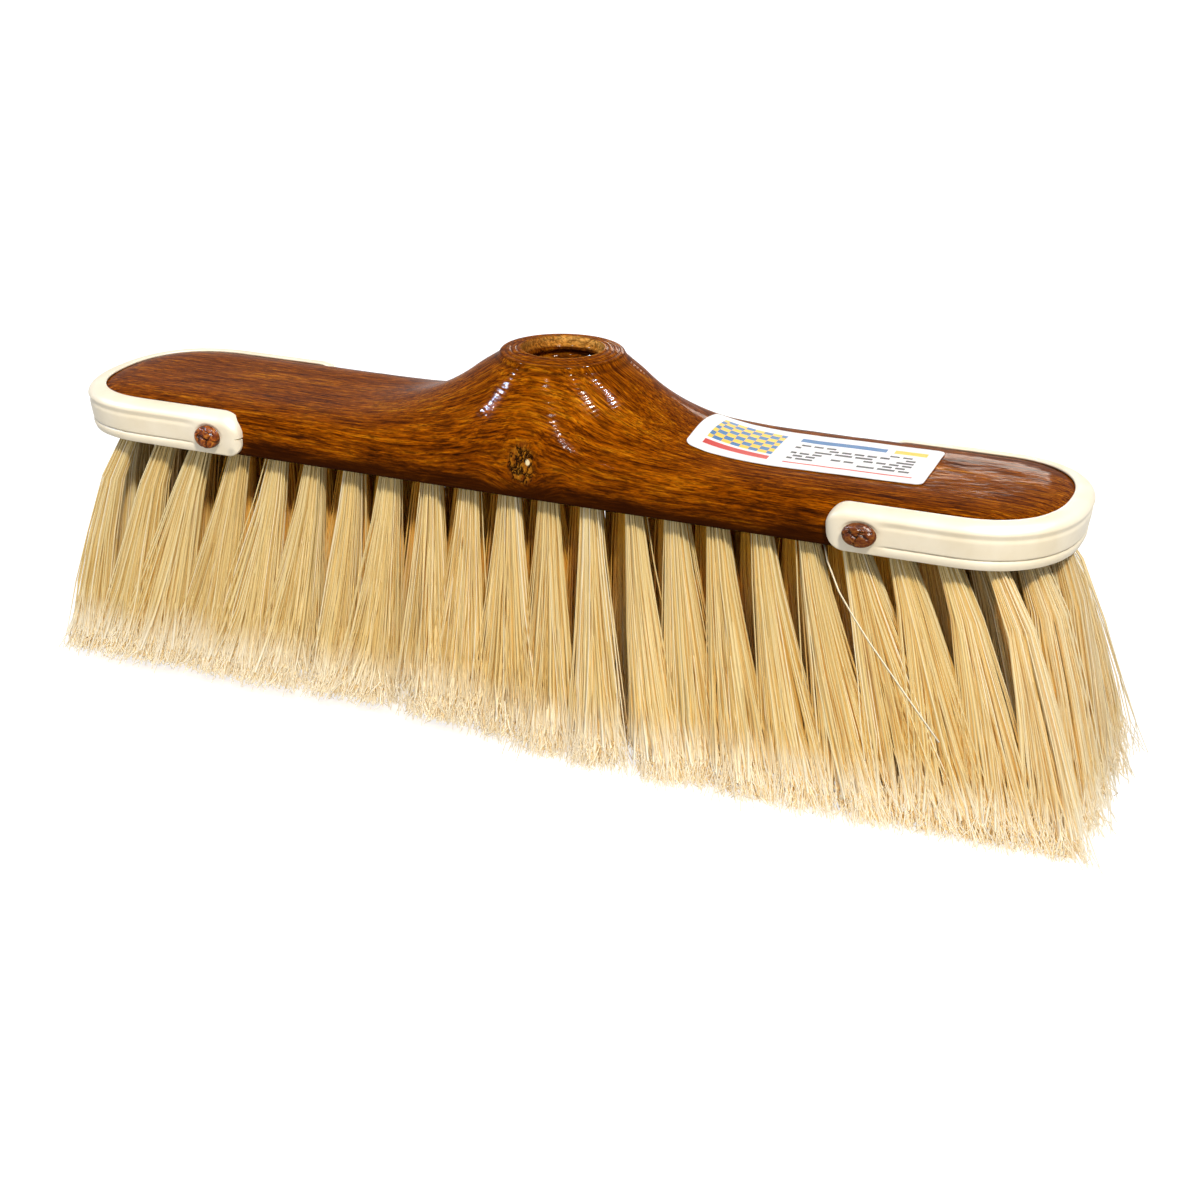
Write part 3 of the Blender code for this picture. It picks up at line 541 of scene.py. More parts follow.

# %% [markdown]
# ## Cream rubber
# The bumpers are moulded in a soft vinyl rubber, cream right through. It is slightly glossy where the mould
# was polished and picks up dust in its grooves. Rubber has an index of refraction near 1.52. Dust and painted
# shade darken the grooves, the underside of the lip and the ring round each peg's head; they follow an
# attribute that the mesh carries, so that they lie in the grooves wherever they run.

# %% The rubber's finish
rubber, tree, shader, in_mm = new_material("cream_vinyl_rubber")
cloud = add_node(tree, "TexNoise", {"Vector": in_mm, "Scale": 1 / 14, "Detail": 4})
cream = add_node(tree, "ValToRGB", cloud, stops=[(0.35, 0xEBE0C4), (0.65, 0xF6EED8)])
grime = add_node(tree, "TexNoise", {"Vector": in_mm, "Scale": 1 / 3, "Detail": 3})
# The groove attribute holds dust and painted shade together.
groove = add_node(tree, "Attribute", attribute_name="groove").outputs["Fac"]
dust_and_shade = add_node(tree, "Math MULTIPLY", groove, grime)
# A grey smudge on the left bumper's tail, where a hand held it.
SMUDGE = (-84.5, -30.2, FOOT + 1.2)
from_smudge = add_node(tree, "VectorMath DISTANCE", in_mm, SMUDGE)
smudge = chain(tree, grime, ("Math MULTIPLY_ADD", 3, from_smudge), ("MapRange", 3.4, 2.1, 0, 0.4))
for where, colour in ((dust_and_shade, 0x75654A), (smudge, 0x8B8B86)):
    cream = add_node(tree, "Mix RGBA", where, cream, colour)
pebble = add_node(tree, "TexNoise", {"Vector": in_mm, "Scale": 1 / 0.8, "Detail": 2})
pebble = add_node(tree, "Bump", {"Height": pebble, "Strength": 0.15, "Distance": 0.05 * MM})
fill(shader, {"Base Color": cream, "Normal": pebble})
fill(shader, {"Roughness": 0.5, "IOR": 1.52, "Specular IOR Level": 0.3})
print("smudge at", [round(c, 1) for c in SMUDGE], "mm")

# %% [markdown]
# ## The bumpers
# Each bumper is one moulding with the same section all the way: a bead at the foot, a sharp groove, a flat
# band, a soft groove, and a fat roll that laps over the wood. It could be an extrusion along a curve, but its
# tails are rounded off and its grooves die out before the pegs. So the section is a function of the place
# along the path, and rings of it make the skin. The left bumper is the right one turned end for end.

# %% The section
WALL, LIP, BUMPER_TOP, ROLL_START = 3.3 * MM, 1.5 * MM, 11.8 * MM, 8.9 * MM
TAIL_X = PEG_X - 9 * MM
HEAD_RADIUS, HEAD_SEAT = 4 * MM, 2.75 * MM
GROOVE_LOW, GROOVE_HIGH, WALL_GAP, TOE = 2.6 * MM, 8.1 * MM, 0.15 * MM, 0.7 * MM
outer_heights = [(0.35 + 0.285 * i) * MM for i in range(31)]


def groove_depth(height):
    """How deep the two grooves are at this height: a sharp one low down and a soft one under the roll."""
    sharp = max(1 - abs(height - GROOVE_LOW) / (0.34 * MM), 0) * 0.62
    soft = math.exp(-(((height - GROOVE_HIGH) / (0.6 * MM)) ** 2)) * 0.24
    return sharp, soft


def lean_in(height):
    """The part by which the wall is thinner at this height, for it leans in towards its foot."""
    return 0.46 * max(1 - height / ROLL_START, 0) ** 1.3


def section(fade):
    """(outward, height, grime and painted shade), anticlockwise from the foot. No grooves where fade is 0."""
    face = [(out * MM, up * MM, 0) for out, up in ((0.15, 0.2), (0.35, 0), (1.3, 0), (2.45, 0), (2.95, 0.12))]
    for height in outer_heights:
        sharp, soft = groove_depth(height)
        bead = 0.3 * (1 - math.cos(min(height / GROOVE_LOW, 1) * 2 * math.pi)) / 2 * fade
        out = WALL - (0.05 + 0.2 * fade) * MM + (bead - (sharp + soft) * fade) * MM
        out -= 0.2 * MM * max(1 - height / TOE, 0) ** 2
        # Dust and painted shade lie in both grooves.
        face.append((out, height, fade * (sharp * 1.5 + soft * 0.25)))
    face = [(out - lean_in(height) * (out - WALL_GAP), height, dust_and_shade) for out, height, dust_and_shade in face]
    roll = []
    for i in range(1, 15):
        angle = i / 14 * math.pi / 2
        out = -LIP + (WALL - 0.05 * MM + LIP) * math.cos(angle) ** (2 / 2.35)
        roll.append((out, ROLL_START + (BUMPER_TOP - ROLL_START) * math.sin(angle) ** (2 / 2.2), 0))
    # Dust and painted shade darken the underside of the lip, where it laps over the wood.
    lip = [(-LIP - 0.28 * MM, BUMPER_TOP - 0.14 * MM, 0), (-LIP - 0.38 * MM, BUMPER_TOP - 0.42 * MM, 0.7)]
    lip += [(-LIP - 0.1 * MM, 11.05 * MM, 1)]
    back = []
    for height in (10.4, 9.8, 9.3, 8.95):
        rise = min(max(height * MM - 0.2 * MM - SIDE_HEIGHT, 0) / CROWN_RISE, 1)
        lean = SHOULDER_WIDTH * (1 - (1 - rise**SHOULDER_EXPONENT) ** (1 / SHOULDER_EXPONENT))
        back.append((WALL_GAP - lean, height * MM, 0))
    back += [(WALL_GAP, height * MM, 0) for height in (8.4, 6, 4, 2, 1)]
    return face + roll + lip + back


print("points in the section:", len(section(1)))

# %% The path and the tails
TAIL_CORNERS, TAIL_EASE = {"left": (6.2 * MM, 3.8 * MM), "right": (5.4 * MM, 5 * MM)}, 3.2 * MM
PEG_OVALS = {"left": (0.95, 0.78), "right": (1.08, 0.76)}
# Stations stand close together where the tail is rounded and round the peg.
TAIL_STATIONS = (0, 0.05, 0.12, 0.22, 0.36, 0.54, 0.76, 1, 1.3, 1.65, 2, 2.4, 2.8, 3.3, 3.8, 4.25)
fine = [TAIL_X + d * MM for d in TAIL_STATIONS]
fine += [PEG_X + d * 0.3 * MM for d in range(-15, 16)]
fine += [PEG_X + (4.9 + 0.6 * d) * MM for d in range(1, 9)]
coarse = [fine[-1] + (STRAIGHT - fine[-1]) * i / 9 for i in range(1, 10)]
leg = [(x, -HALF_WIDTH) for x in fine + coarse]
round_end = [end_point(i / 30, 1) for i in range(30)]
half_path = leg + [(x, -y) for x, y in reversed(round_end)]
path = half_path + [(x, -y) for x, y in reversed(half_path[:-1])]


def bumper_ring(x, y, oval, corners):
    """The section's points in space at one place of the path, shaped for the tail and the peg's recess."""
    slope_x = max(x - STRAIGHT, 0) ** (END_EXPONENT - 1) / END_DEPTH**END_EXPONENT
    slope_y = math.copysign(abs(y) ** (END_EXPONENT - 1), y) / HALF_WIDTH**END_EXPONENT
    outward = Vector((slope_x, slope_y, 0)).normalized()
    from_tail = x - TAIL_X if abs(y) == HALF_WIDTH else 1
    top_cut, foot_cut = (
        corner - math.sqrt(max(corner**2 - max(corner - from_tail, 0) ** 2, 0)) for corner in corners
    )
    thick = 0.25 + 0.75 * math.sqrt(max(1 - max(1 - from_tail / TAIL_EASE, 0) ** 2, 0))
    fade = smoothstep(x, PEG_X + 3 * MM, PEG_X + 8 * MM)
    ring, dust_and_shade = [], []
    for out, height, dirt_and_shade in section(fade):
        sunk = 0
        reach = math.hypot((x - PEG_X) / oval[0], (height - (PEG_Z - UNDERSIDE)) / oval[1])
        if abs(y) == HALF_WIDTH and out > 1 * MM:
            sunk = smoothstep(reach, HEAD_RADIUS + 0.6 * MM, HEAD_RADIUS + 0.1 * MM)
            out += (HEAD_SEAT - out) * sunk
        height = foot_cut + height * (BUMPER_TOP - top_cut - foot_cut) / BUMPER_TOP
        out = WALL_GAP + (out - WALL_GAP) * thick if out > WALL_GAP else out
        ring.append(Vector((x, y, UNDERSIDE + height)) + outward * out)
        # Round the peg's head the seat is painted a little darker, as painted shade.
        dust_and_shade.append(max(dirt_and_shade, 0.15 * sunk))
    return ring, dust_and_shade


print("stations along a bumper:", len(path), "tails at", round(TAIL_X / MM, 1), "mm")

# %% Both bumpers, and the nick in the left one
NICK_HEIGHT = 5.2 * MM


def rounded(point):
    """A point to a hundredth of a millimetre, by which the same place is found again."""
    return tuple(round(c, 5) for c in point)


for end, sign in (("right", 1), ("left", -1)):
    bumper_rings = [bumper_ring(x, y, PEG_OVALS[end], TAIL_CORNERS[end]) for x, y in path]
    rings = [[lengthened((sign * p.x, sign * p.y, p.z)) for p in ring] for ring, _ in bumper_rings]
    bumper = skin(end + "_end_bumper", rings, rubber, 65)
    dirt_and_shade = bumper.data.attributes.new("groove", "FLOAT", "POINT")
    dust_and_shade_at = {}
    for ring, (_, dust_and_shade) in zip(rings, bumper_rings):
        dust_and_shade_at.update(zip((rounded(p) for p in ring), dust_and_shade))
    dirt_and_shade.data.foreach_set("value", [dust_and_shade_at.get(rounded(v.co), 0) for v in bumper.data.vertices])
    drill(bumper, [(PEG_BORE, across(sign * PEG_X, side, 20 * MM, 34 * MM), 14 * MM) for side in (-1, 1)])
    if end == "left":
        nick = Matrix.Translation((-TAIL_X, -29 * MM, UNDERSIDE + NICK_HEIGHT))
        nick = nick @ Matrix.Rotation(math.pi / 2, 4, "X") @ Matrix.Diagonal((6, 1, 1, 1))
        drill(bumper, [(0.2 * MM, nick, 6 * MM)])
    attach(bumper, BODY)
    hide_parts(end + "_bumper")
    print(bumper.name, "faces:", len(bumper.data.polygons))

# %% [markdown]
# ## The pegs
# Each peg is a short turned pin, hammered in through the bumper. The blows bruise its head into a few flat
# facets with dark creases between them, and the same brown stain pools in the creases. A head is a dome of
# rings whose height is changed cell by cell, as in a cracked glaze: each cell leans its own way, and the
# line where two cells meet is pressed in.
# The lower edge of each head and its shank are painted darker, as painted shade.

# %% The pegs' finish
peg_wood, tree, shader, in_mm = new_material("stained_hardwood_peg")
BURL = 1.6
burl = add_node(tree, "TexNoise", {"Vector": in_mm, "Scale": 1 / BURL, "Detail": 4, "Distortion": 1.5})
brown = add_node(tree, "ValToRGB", burl, stops=[(0.3, 0x561E05), (0.72, 0xCE8430), (0.5, 0x924810)])
# The crease attribute holds the dark creases and painted shade on the lower side of each head.
crease_and_shade = add_node(tree, "Attribute", attribute_name="crease_and_shade").outputs["Fac"]
brown = add_node(tree, "Mix RGBA", crease_and_shade, brown, 0x1E0C05)
pits = add_node(tree, "Bump", {"Height": burl, "Strength": 0.6, "Distance": 0.3 * MM})
fill(shader, {"Base Color": brown, "Roughness": 0.3, "IOR": 1.5, "Specular IOR Level": 0.1, "Normal": pits})
fill(shader, {"Coat Weight": 0.1, "Coat IOR": 1.15, "Coat Roughness": 0.15})
print("burl every", BURL, "mm")

# %% Hammered heads
HEAD_HEIGHT, DOME_FOOT, SHANK_LENGTH, SHANK_RADIUS = 2.3 * MM, 0.7 * MM, 14 * MM, PEG_SHANK / 1.13
PEG_POINTS = 40
# The pegs at the right end took up more stain.
PEG_STAIN = {"left": 0, "right": 0.48}
# A noise with three parts starts at another place in each run, unless it is given a number to start from.
NOISE_STARTS = {"front": 1795883385, "back": 1795883528}


def peg_rings(seed):
    """Rings (across, up, outward) from the middle of a hammered head to the end of its shank."""
    draw = random.Random(seed)
    cells = [[draw.uniform(-most, most) for most in (3.4 * MM, 3.4 * MM, 0.2, 0.2)] for _ in range(6)]
    profile = [(0.12 * MM + (HEAD_RADIUS - 0.3 * MM) * i / 17, None) for i in range(18)]
    rim = ((0.12, 0.62), (0, 0.35), (0.05, 0.02))
    profile += [(HEAD_RADIUS - inwards * MM, up * MM) for inwards, up in rim]
    profile += [(SHANK_RADIUS, 0), (SHANK_RADIUS, -1 * MM), (SHANK_RADIUS, -SHANK_LENGTH)]
    rings, crease_and_shade_values = [], []
    for radius, level in profile:
        for i in range(PEG_POINTS):
            angle = 2 * math.pi * i / PEG_POINTS
            # Painted shade: the lower side of the rim, the dome's edge and the shank is darker.
            shade_below = 0.5 - 0.5 * math.sin(angle)
            a, b, c, dark = radius * math.cos(angle), radius * math.sin(angle), level, shade_below
            if level is None:
                bend_x, bend_y, _ = noise.noise_vector(Vector((a, b, seed * MM)) / (1.6 * MM)) * 0.8 * MM
                gaps = [(math.hypot(a + bend_x - cell[0], b + bend_y - cell[1]), *cell) for cell in cells]
                (first, x, y, p, q), (second, *_) = sorted(gaps)[:2]
                line = 1 - smoothstep(second - first, 0.05 * MM, 0.5 * MM)
                edge_fade = smoothstep(radius, HEAD_RADIUS, 0.6 * HEAD_RADIUS)
                dome = DOME_FOOT + (HEAD_HEIGHT - DOME_FOOT) * math.sqrt(1 - (radius / HEAD_RADIUS) ** 2)
                c = dome + ((a - x) * p + (b - y) * q) * edge_fade - 0.3 * MM * line
                dark = max(line, shade_below * smoothstep(radius, 0.88 * HEAD_RADIUS, 0.97 * HEAD_RADIUS))
            rings.append((a, b, c))
            crease_and_shade_values.append(dark)
    return [rings[i : i + PEG_POINTS] for i in range(0, len(rings), PEG_POINTS)], crease_and_shade_values


for number, (depth_name, side) in enumerate((("front", -1), ("back", 1))):
    noise.seed_set(NOISE_STARTS[depth_name])
    for end, sign in (("left", -1), ("right", 1)):
        rings, crease_and_shade_values = peg_rings(5 + 2 * number + (sign > 0))
        seat = HALF_WIDTH + HEAD_SEAT + 0.25 * MM
        wide, tall = PEG_OVALS[end]
        placed = []
        for ring in rings:
            flat = [(sign * PEG_X + a * wide, seat + c, PEG_Z + b * tall) for a, b, c in ring]
            placed.append([(x, side * out, z) for x, out, z in flat])
        peg = skin(f"{depth_name}_{end}_hammered_peg", placed, peg_wood, 25)
        dark = peg.data.attributes.new("crease_and_shade", "FLOAT", "POINT")
        dark.data.foreach_set("value", [max(c, PEG_STAIN[end]) for c in crease_and_shade_values])
        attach(peg, BODY)
        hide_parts(f"{depth_name}_{end}_peg")
print("peg heads stand out", round((seat + HEAD_HEIGHT - HALF_WIDTH - WALL) / MM, 2), "mm from the rubber")

# %% [markdown]
# ## The paper label
# A printed paper label is stuck across the flat of the block and climbs the foot of the boss. The sheet is a
# grid that takes its height from the same rule as the wood, pulled in at its corners to round them. Its print
# is drawn by nodes from the sheet's own map in millimetres: a field of checks, plain bars and short strips,
# in the blue, yellow, red and black of a shop label.

# %% The sheet
LABEL_CENTRE, LABEL_SIZE = (69.4 * MM, 2 * MM), (61 * MM, 27.6 * MM)
LABEL_CORNER, LABEL_TURN = 2 * MM, math.radians(2.2)
COLUMNS, LINES = 92, 44


def on_label(i, j):
    """The place of a grid point on the flat sheet, measured from its middle, with the corners rounded."""
    place = [(i / COLUMNS - 0.5) * LABEL_SIZE[0], (j / LINES - 0.5) * LABEL_SIZE[1]]
    past = [max(abs(p) - size / 2 + LABEL_CORNER, 0) / LABEL_CORNER for p, size in zip(place, LABEL_SIZE)]
    for k in (0, 1):
        if past[0] and past[1]:
            pulled = past[k] * math.sqrt(1 - past[1 - k] ** 2 / 2)
            place[k] = math.copysign(LABEL_SIZE[k] / 2 - LABEL_CORNER + LABEL_CORNER * pulled, place[k])
    return place


# The sheet's two faces lie at these heights over the wood, and one corner has begun to curl.
LEVELS, CURL, CURL_REACH = (0.22 * MM, 0.4 * MM), 0.35 * MM, 7 * MM
sheet_points, sheet_map_mm = [], []
for level in LEVELS:
    for j in range(LINES + 1):
        for i in range(COLUMNS + 1):
            a, b = on_label(i, j)
            x = LABEL_CENTRE[0] + a * math.cos(LABEL_TURN) - b * math.sin(LABEL_TURN)
            y = LABEL_CENTRE[1] + a * math.sin(LABEL_TURN) + b * math.cos(LABEL_TURN)
            across_mm, up_mm = (a + LABEL_SIZE[0] / 2) / MM, (b + LABEL_SIZE[1] / 2) / MM
            sheet_map_mm.append((across_mm, up_mm))
            curl = smoothstep(math.hypot(across_mm, up_mm) * MM, CURL_REACH, 0) * CURL
            _, _, z = waver((x, y, UNDERSIDE + top_height(x, y)))
            sheet_points.append((x, y, z + level + curl))
across_sheet = COLUMNS + 1
layer = across_sheet * (LINES + 1)
sheet_faces = []
for j in range(LINES):
    for i in range(COLUMNS):
        a = j * across_sheet + i
        square = (a, a + 1, a + across_sheet + 1, a + across_sheet)
        sheet_faces += [square[::-1], tuple(k + layer for k in square)]
rim = list(range(COLUMNS)) + [COLUMNS + j * across_sheet for j in range(LINES)]
rim += [layer - 1 - i for i in range(COLUMNS)] + [(LINES - j) * across_sheet for j in range(LINES)]
sheet_faces += [(a, b, b + layer, a + layer) for a, b in zip(rim, rim[1:] + rim[:1])]
print("label points:", len(sheet_points))

# %% The printed paper
paper, tree, shader, in_mm = new_material("coated_label_paper")
sheet_map = add_node(tree, "UVMap", uv_map="sheet_mm").outputs["UV"]
sheet_mm = add_node(tree, "SeparateXYZ", sheet_map).outputs
tooth = add_node(tree, "TexNoise", {"Vector": in_mm, "Scale": 1 / 5, "Detail": 5})
printed = add_node(tree, "ValToRGB", tooth, stops=[(0.3, 0xE2E5EA), (0.7, 0xF2F4F6)])


def box_mask(tree, low, high):
    """1 inside a rectangle of the sheet, given in millimetres, and 0 outside."""
    mask = 1
    for axis, start, end in zip("XY", low, high):
        inside = add_node(tree, "Math COMPARE", sheet_mm[axis], (start + end) / 2, (end - start) / 2)
        mask = add_node(tree, "Math MULTIPLY", inside, mask)
    return mask


BLUE, YELLOW, RED = 0x2F6FA8, 0xF4C63E, 0xC8352B
checks = add_node(tree, "TexChecker", {"Vector": sheet_map, "Color1": BLUE, "Color2": YELLOW, "Scale": 0.42})
PRINT = [((3.5, 7.5), (20.5, 23.5), checks), ((3.5, 3.6), (20.5, 6.2), RED), ((24.5, 20.8), (47, 23.5), BLUE)]
PRINT += [((49, 20.8), (57.5, 23.5), YELLOW), ((24.5, 3.6), (57.5, 4.4), RED)]
for low, high, ink in PRINT:
    printed = add_node(tree, "Mix RGBA", box_mask(tree, low, high), printed, ink)
print("printed shapes:", len(PRINT))

# %% Strips that stand for lines of print
# The bricks of a wall, with light joints and dark faces here and there, are strips of uneven length.
strips = add_node(
    tree, "TexBrick",
    {"Vector": sheet_map, "Color1": 0x000000, "Color2": 0xFFFFFF, "Mortar": 0xFFFFFF, "Scale": 1,
     "Mortar Size": 0.42, "Mortar Smooth": 0, "Bias": 0, "Brick Width": 3.3, "Row Height": 2.15},
    offset=0.37, squash=1.6, squash_frequency=3,
)
text_box = box_mask(tree, (24.5, 6.6), (56, 18.8))
ink = chain(tree, strips.outputs["Color"], ("Math LESS_THAN", 0.62), ("Math MULTIPLY", text_box))
printed = add_node(tree, "Mix RGBA", ink, printed, 0x26262C)
fuzz = add_node(tree, "Bump", {"Height": tooth, "Strength": 0.3, "Distance": 0.12 * MM})
fill(shader, {"Base Color": printed, "Normal": fuzz})
fill(shader, {"Roughness": 0.5, "IOR": 1.5, "Specular IOR Level": 0.15})
print("sockets of the paper in use:", sum(s.is_linked for s in shader.inputs))

# %% The label in its place
sheet_mesh = bpy.data.meshes.new("label_sheet")
sheet_mesh.from_pydata(sheet_points, [], sheet_faces)
label = finished("label_sheet", sheet_mesh, paper, 50)
sheet_uv = label.data.uv_layers.new(name="sheet_mm")
for corner in label.data.loops:
    sheet_uv.data[corner.index].uv = sheet_map_mm[corner.vertex_index]
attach(label, BODY)
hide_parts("label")
print("label in mm:", [round(s / MM, 1) for s in label.dimensions])

# %% [markdown]
# ## Bristle filament
# The tufts are drawn from a soft polyester filament coloured like straw. Each filament is about a third of a
# millimetre thick, lets part of the light through and shines a little, and no two have quite the same tone.
# Near the floor it is flagged: its end is split into finer hairs that scatter white light, so the last
# centimetre is paler. The tufts at the right end are made paler too. Deep between the rows, near the block,
# light that has passed through many filaments turns deep yellow, and the inner rows are painted that tone
# as painted light. Each filament carries its tone and its share of the way down as attributes, which the
# material reads. Synthetic filament has an index of refraction near 1.57.

# %% The filament's finish
straw, tree, shader, in_mm = new_material("flagged_polyester_filament")
along = add_node(tree, "Attribute", attribute_name="along").outputs["Fac"]
tint = add_node(tree, "Attribute", attribute_name="tint").outputs["Fac"]
tone = add_node(
    tree, "ValToRGB", tint,
    stops=[(0, 0xC6A55E), (1, 0xF0E4C2), (0.12, 0xD6BA76), (0.5, 0xDFC98E), (0.85, 0xE7D6A2)],
)
parts_mm = add_node(tree, "SeparateXYZ", in_mm).outputs
# Painted light: the inner rows near the block are painted deep yellow, for light seen through many filaments.
painted_golden_light = add_node(tree, "MapRange", along, 0.65, 0.2, 0, 0.92)
for axis, limits in (("Y", (20, 14, 0, 1)), ("X", (95, 120, 1, 0))):
    painted_golden_light = chain(tree, parts_mm[axis], ("Math ABSOLUTE",), ("MapRange", *limits), ("Math MULTIPLY", painted_golden_light))
band = add_node(tree, "TexNoise", {"Vector": in_mm, "Scale": 1 / 16, "Detail": 3})
# The tufts at the right end are made paler.
paler_right_end = add_node(tree, "MapRange", parts_mm["X"], 116, 148, 0, 0.35)
pale = chain(
    tree, band, ("Math MULTIPLY_ADD", 0.13, along), ("MapRange SMOOTHSTEP", 0.8, 0.99, 0, 1),
    ("Math MAXIMUM", paler_right_end),
)
for where, colour in ((painted_golden_light, 0xFFC236), (pale, 0xEFE6CE)):
    tone = add_node(tree, "Mix RGBA", where, tone, colour)
fill(shader, {"Base Color": tone, "Roughness": 0.5, "IOR": 1.57, "Specular IOR Level": 0.3})
# A shadow ray passes a filament almost unhindered, as light passes a bundle by glancing from hair to hair.
passing = add_node(tree, "Math MULTIPLY", add_node(tree, "LightPath").outputs["Is Shadow Ray"], 0.93)
clear = add_node(tree, "BsdfTransparent", {"Color": 0xFFF4D8})
fill(tree.get_output_node("CYCLES"), {"Surface": add_node(tree, "MixShader", passing, shader, clear)})
print("filament sockets in use:", sum(s.is_linked for s in shader.inputs))

# %% [markdown]
# ## The tufts
# A machine folds a bundle of filament in two, drives it into a hole with a staple and trims it level, and the
# bundle then springs open. One rule repeated thousands of times is work for Geometry Nodes. The tree starts
# from one point for each tuft, which knows where its tips go. It copies the point once for each filament,
# moves each copy to its own place in the bundle, gathers the copies in a few locks that keep together, and
# draws a curve from the hole to the tip. More short curves near the tips are the flagged ends, and a few
# thick ones, the cores, stand for the filaments deep inside a lock, which can't be told apart. A triangle
# swept along each curve makes it a solid, and the result is made real so that it can leave Blender as a mesh.

# %% Where each tuft's tips go
TRIM_STEP, TIP_REACH_RIGHT, TIP_REACH_LEFT = 3.2 * MM, 142 * MM, 140.5 * MM


def tuft_tip(x, y, row_end, draw):
    """The middle of a tuft's tips. Rows splay outwards, the ends most, and the left half is cut shorter."""
    pull = (TIP_REACH_RIGHT if x > 0 else TIP_REACH_LEFT) - row_end
    lean = 3.5 * MM + pull * math.sin(max(min(x / row_end * 1.5, math.pi / 2), -math.pi / 2))
    wide = 0.4 + 0.2 * smoothstep(x, -20 * MM, 25 * MM)
    left = smoothstep(x, 2 * MM, -14 * MM)
    shift = Vector((draw.gauss(0, 1.1), draw.gauss(0, 0.4), 0)) * MM
    return Vector((x + lean, y * (1 + wide), 0.6 * MM + TRIM_STEP * left)) + shift


def tuft_fan(x):
    """How far a tuft opens: further on the right, where its neighbours lean apart, and less at the ends."""
    fan = 1 + 0.32 * smoothstep(x, 20 * MM, 90 * MM) + 0.1 * smoothstep(-x, 20 * MM, 90 * MM)
    return fan - 0.42 * smoothstep(abs(x), 100 * MM, 126 * MM)


def tuft_bow(x):
    """The power by which a tuft leans out on its way down, under 1 near the ends, where it bows outwards."""
    return 1.2 - 0.56 * smoothstep(abs(x), 60 * MM, 125 * MM)


row_roots = {}
draw = random.Random(11)
for row, places in ROWS.items():
    row_end = places[-1][0]
    mesh = bpy.data.meshes.new(row + "_roots")
    mesh.from_pydata([(x, y, UNDERSIDE + 5 * MM) for x, y in places], [], [])
    tips = [c for x, y in places for c in tuft_tip(x, y, row_end, draw)]
    fans = [tuft_fan(x) * draw.uniform(0.87, 1.13) for x, _ in places]
    mesh.attributes.new("tip", "FLOAT_VECTOR", "POINT").data.foreach_set("vector", tips)
    mesh.attributes.new("fan", "FLOAT", "POINT").data.foreach_set("value", fans)
    mesh.attributes.new("bow", "FLOAT", "POINT").data.foreach_set("value", [tuft_bow(x) for x, _ in places])
    mesh.attributes.new("tuft", "INT", "POINT").data.foreach_set("value", range(len(places)))
    row_roots[row] = mesh
print("tips of the last row run from", round(tips[0] / MM), "to", round(tips[-3] / MM), "mm")

# %% The tree's inputs
tufts = bpy.data.node_groups.new("tufts_of_one_row", "GeometryNodeTree")
for way in ("OUTPUT", "INPUT"):
    tufts.interface.new_socket("Geometry", in_out=way, socket_type="NodeSocketGeometry")
INPUTS = (
    ("Filaments", "Int", 150),
    ("Flags", "Int", 60),
    ("Cores", "Int", 36),
    ("Locks", "Int", 9),
    ("Seed", "Int", 1),
    ("Filament Radius", "Float", 0.19 * MM),
    ("Root Radius", "Float", 2.1 * MM),
    ("Opening", "Float", 1.15),
    ("Tip Reach Along", "Float", 10.5 * MM),
    ("Tip Reach Across", "Float", 5 * MM),
    ("Ragged", "Float", 1.5 * MM),
)
for name, kind, value in INPUTS:
    tufts.interface.new_socket(name, in_out="INPUT", socket_type="NodeSocket" + kind).default_value = value
given = add_node(tufts, "NodeGroupInput").outputs
print("inputs:", [name for name, _, _ in INPUTS])

# %% A point for each filament, with its place in the bundle
def store(geometry, kind, **values):
    """Stores values under their names as attributes of one kind."""
    for name, value in values.items():
        inputs = {"Geometry": geometry, "Name": name, "Value": value}
        geometry = add_node(tufts, "GeometryNodeStoreNamedAttribute " + kind, inputs)
    return geometry


def read(name, kind="FLOAT"):
    """An attribute's value."""
    return add_node(tufts, "GeometryNodeInputNamedAttribute " + kind, {"Name": name})


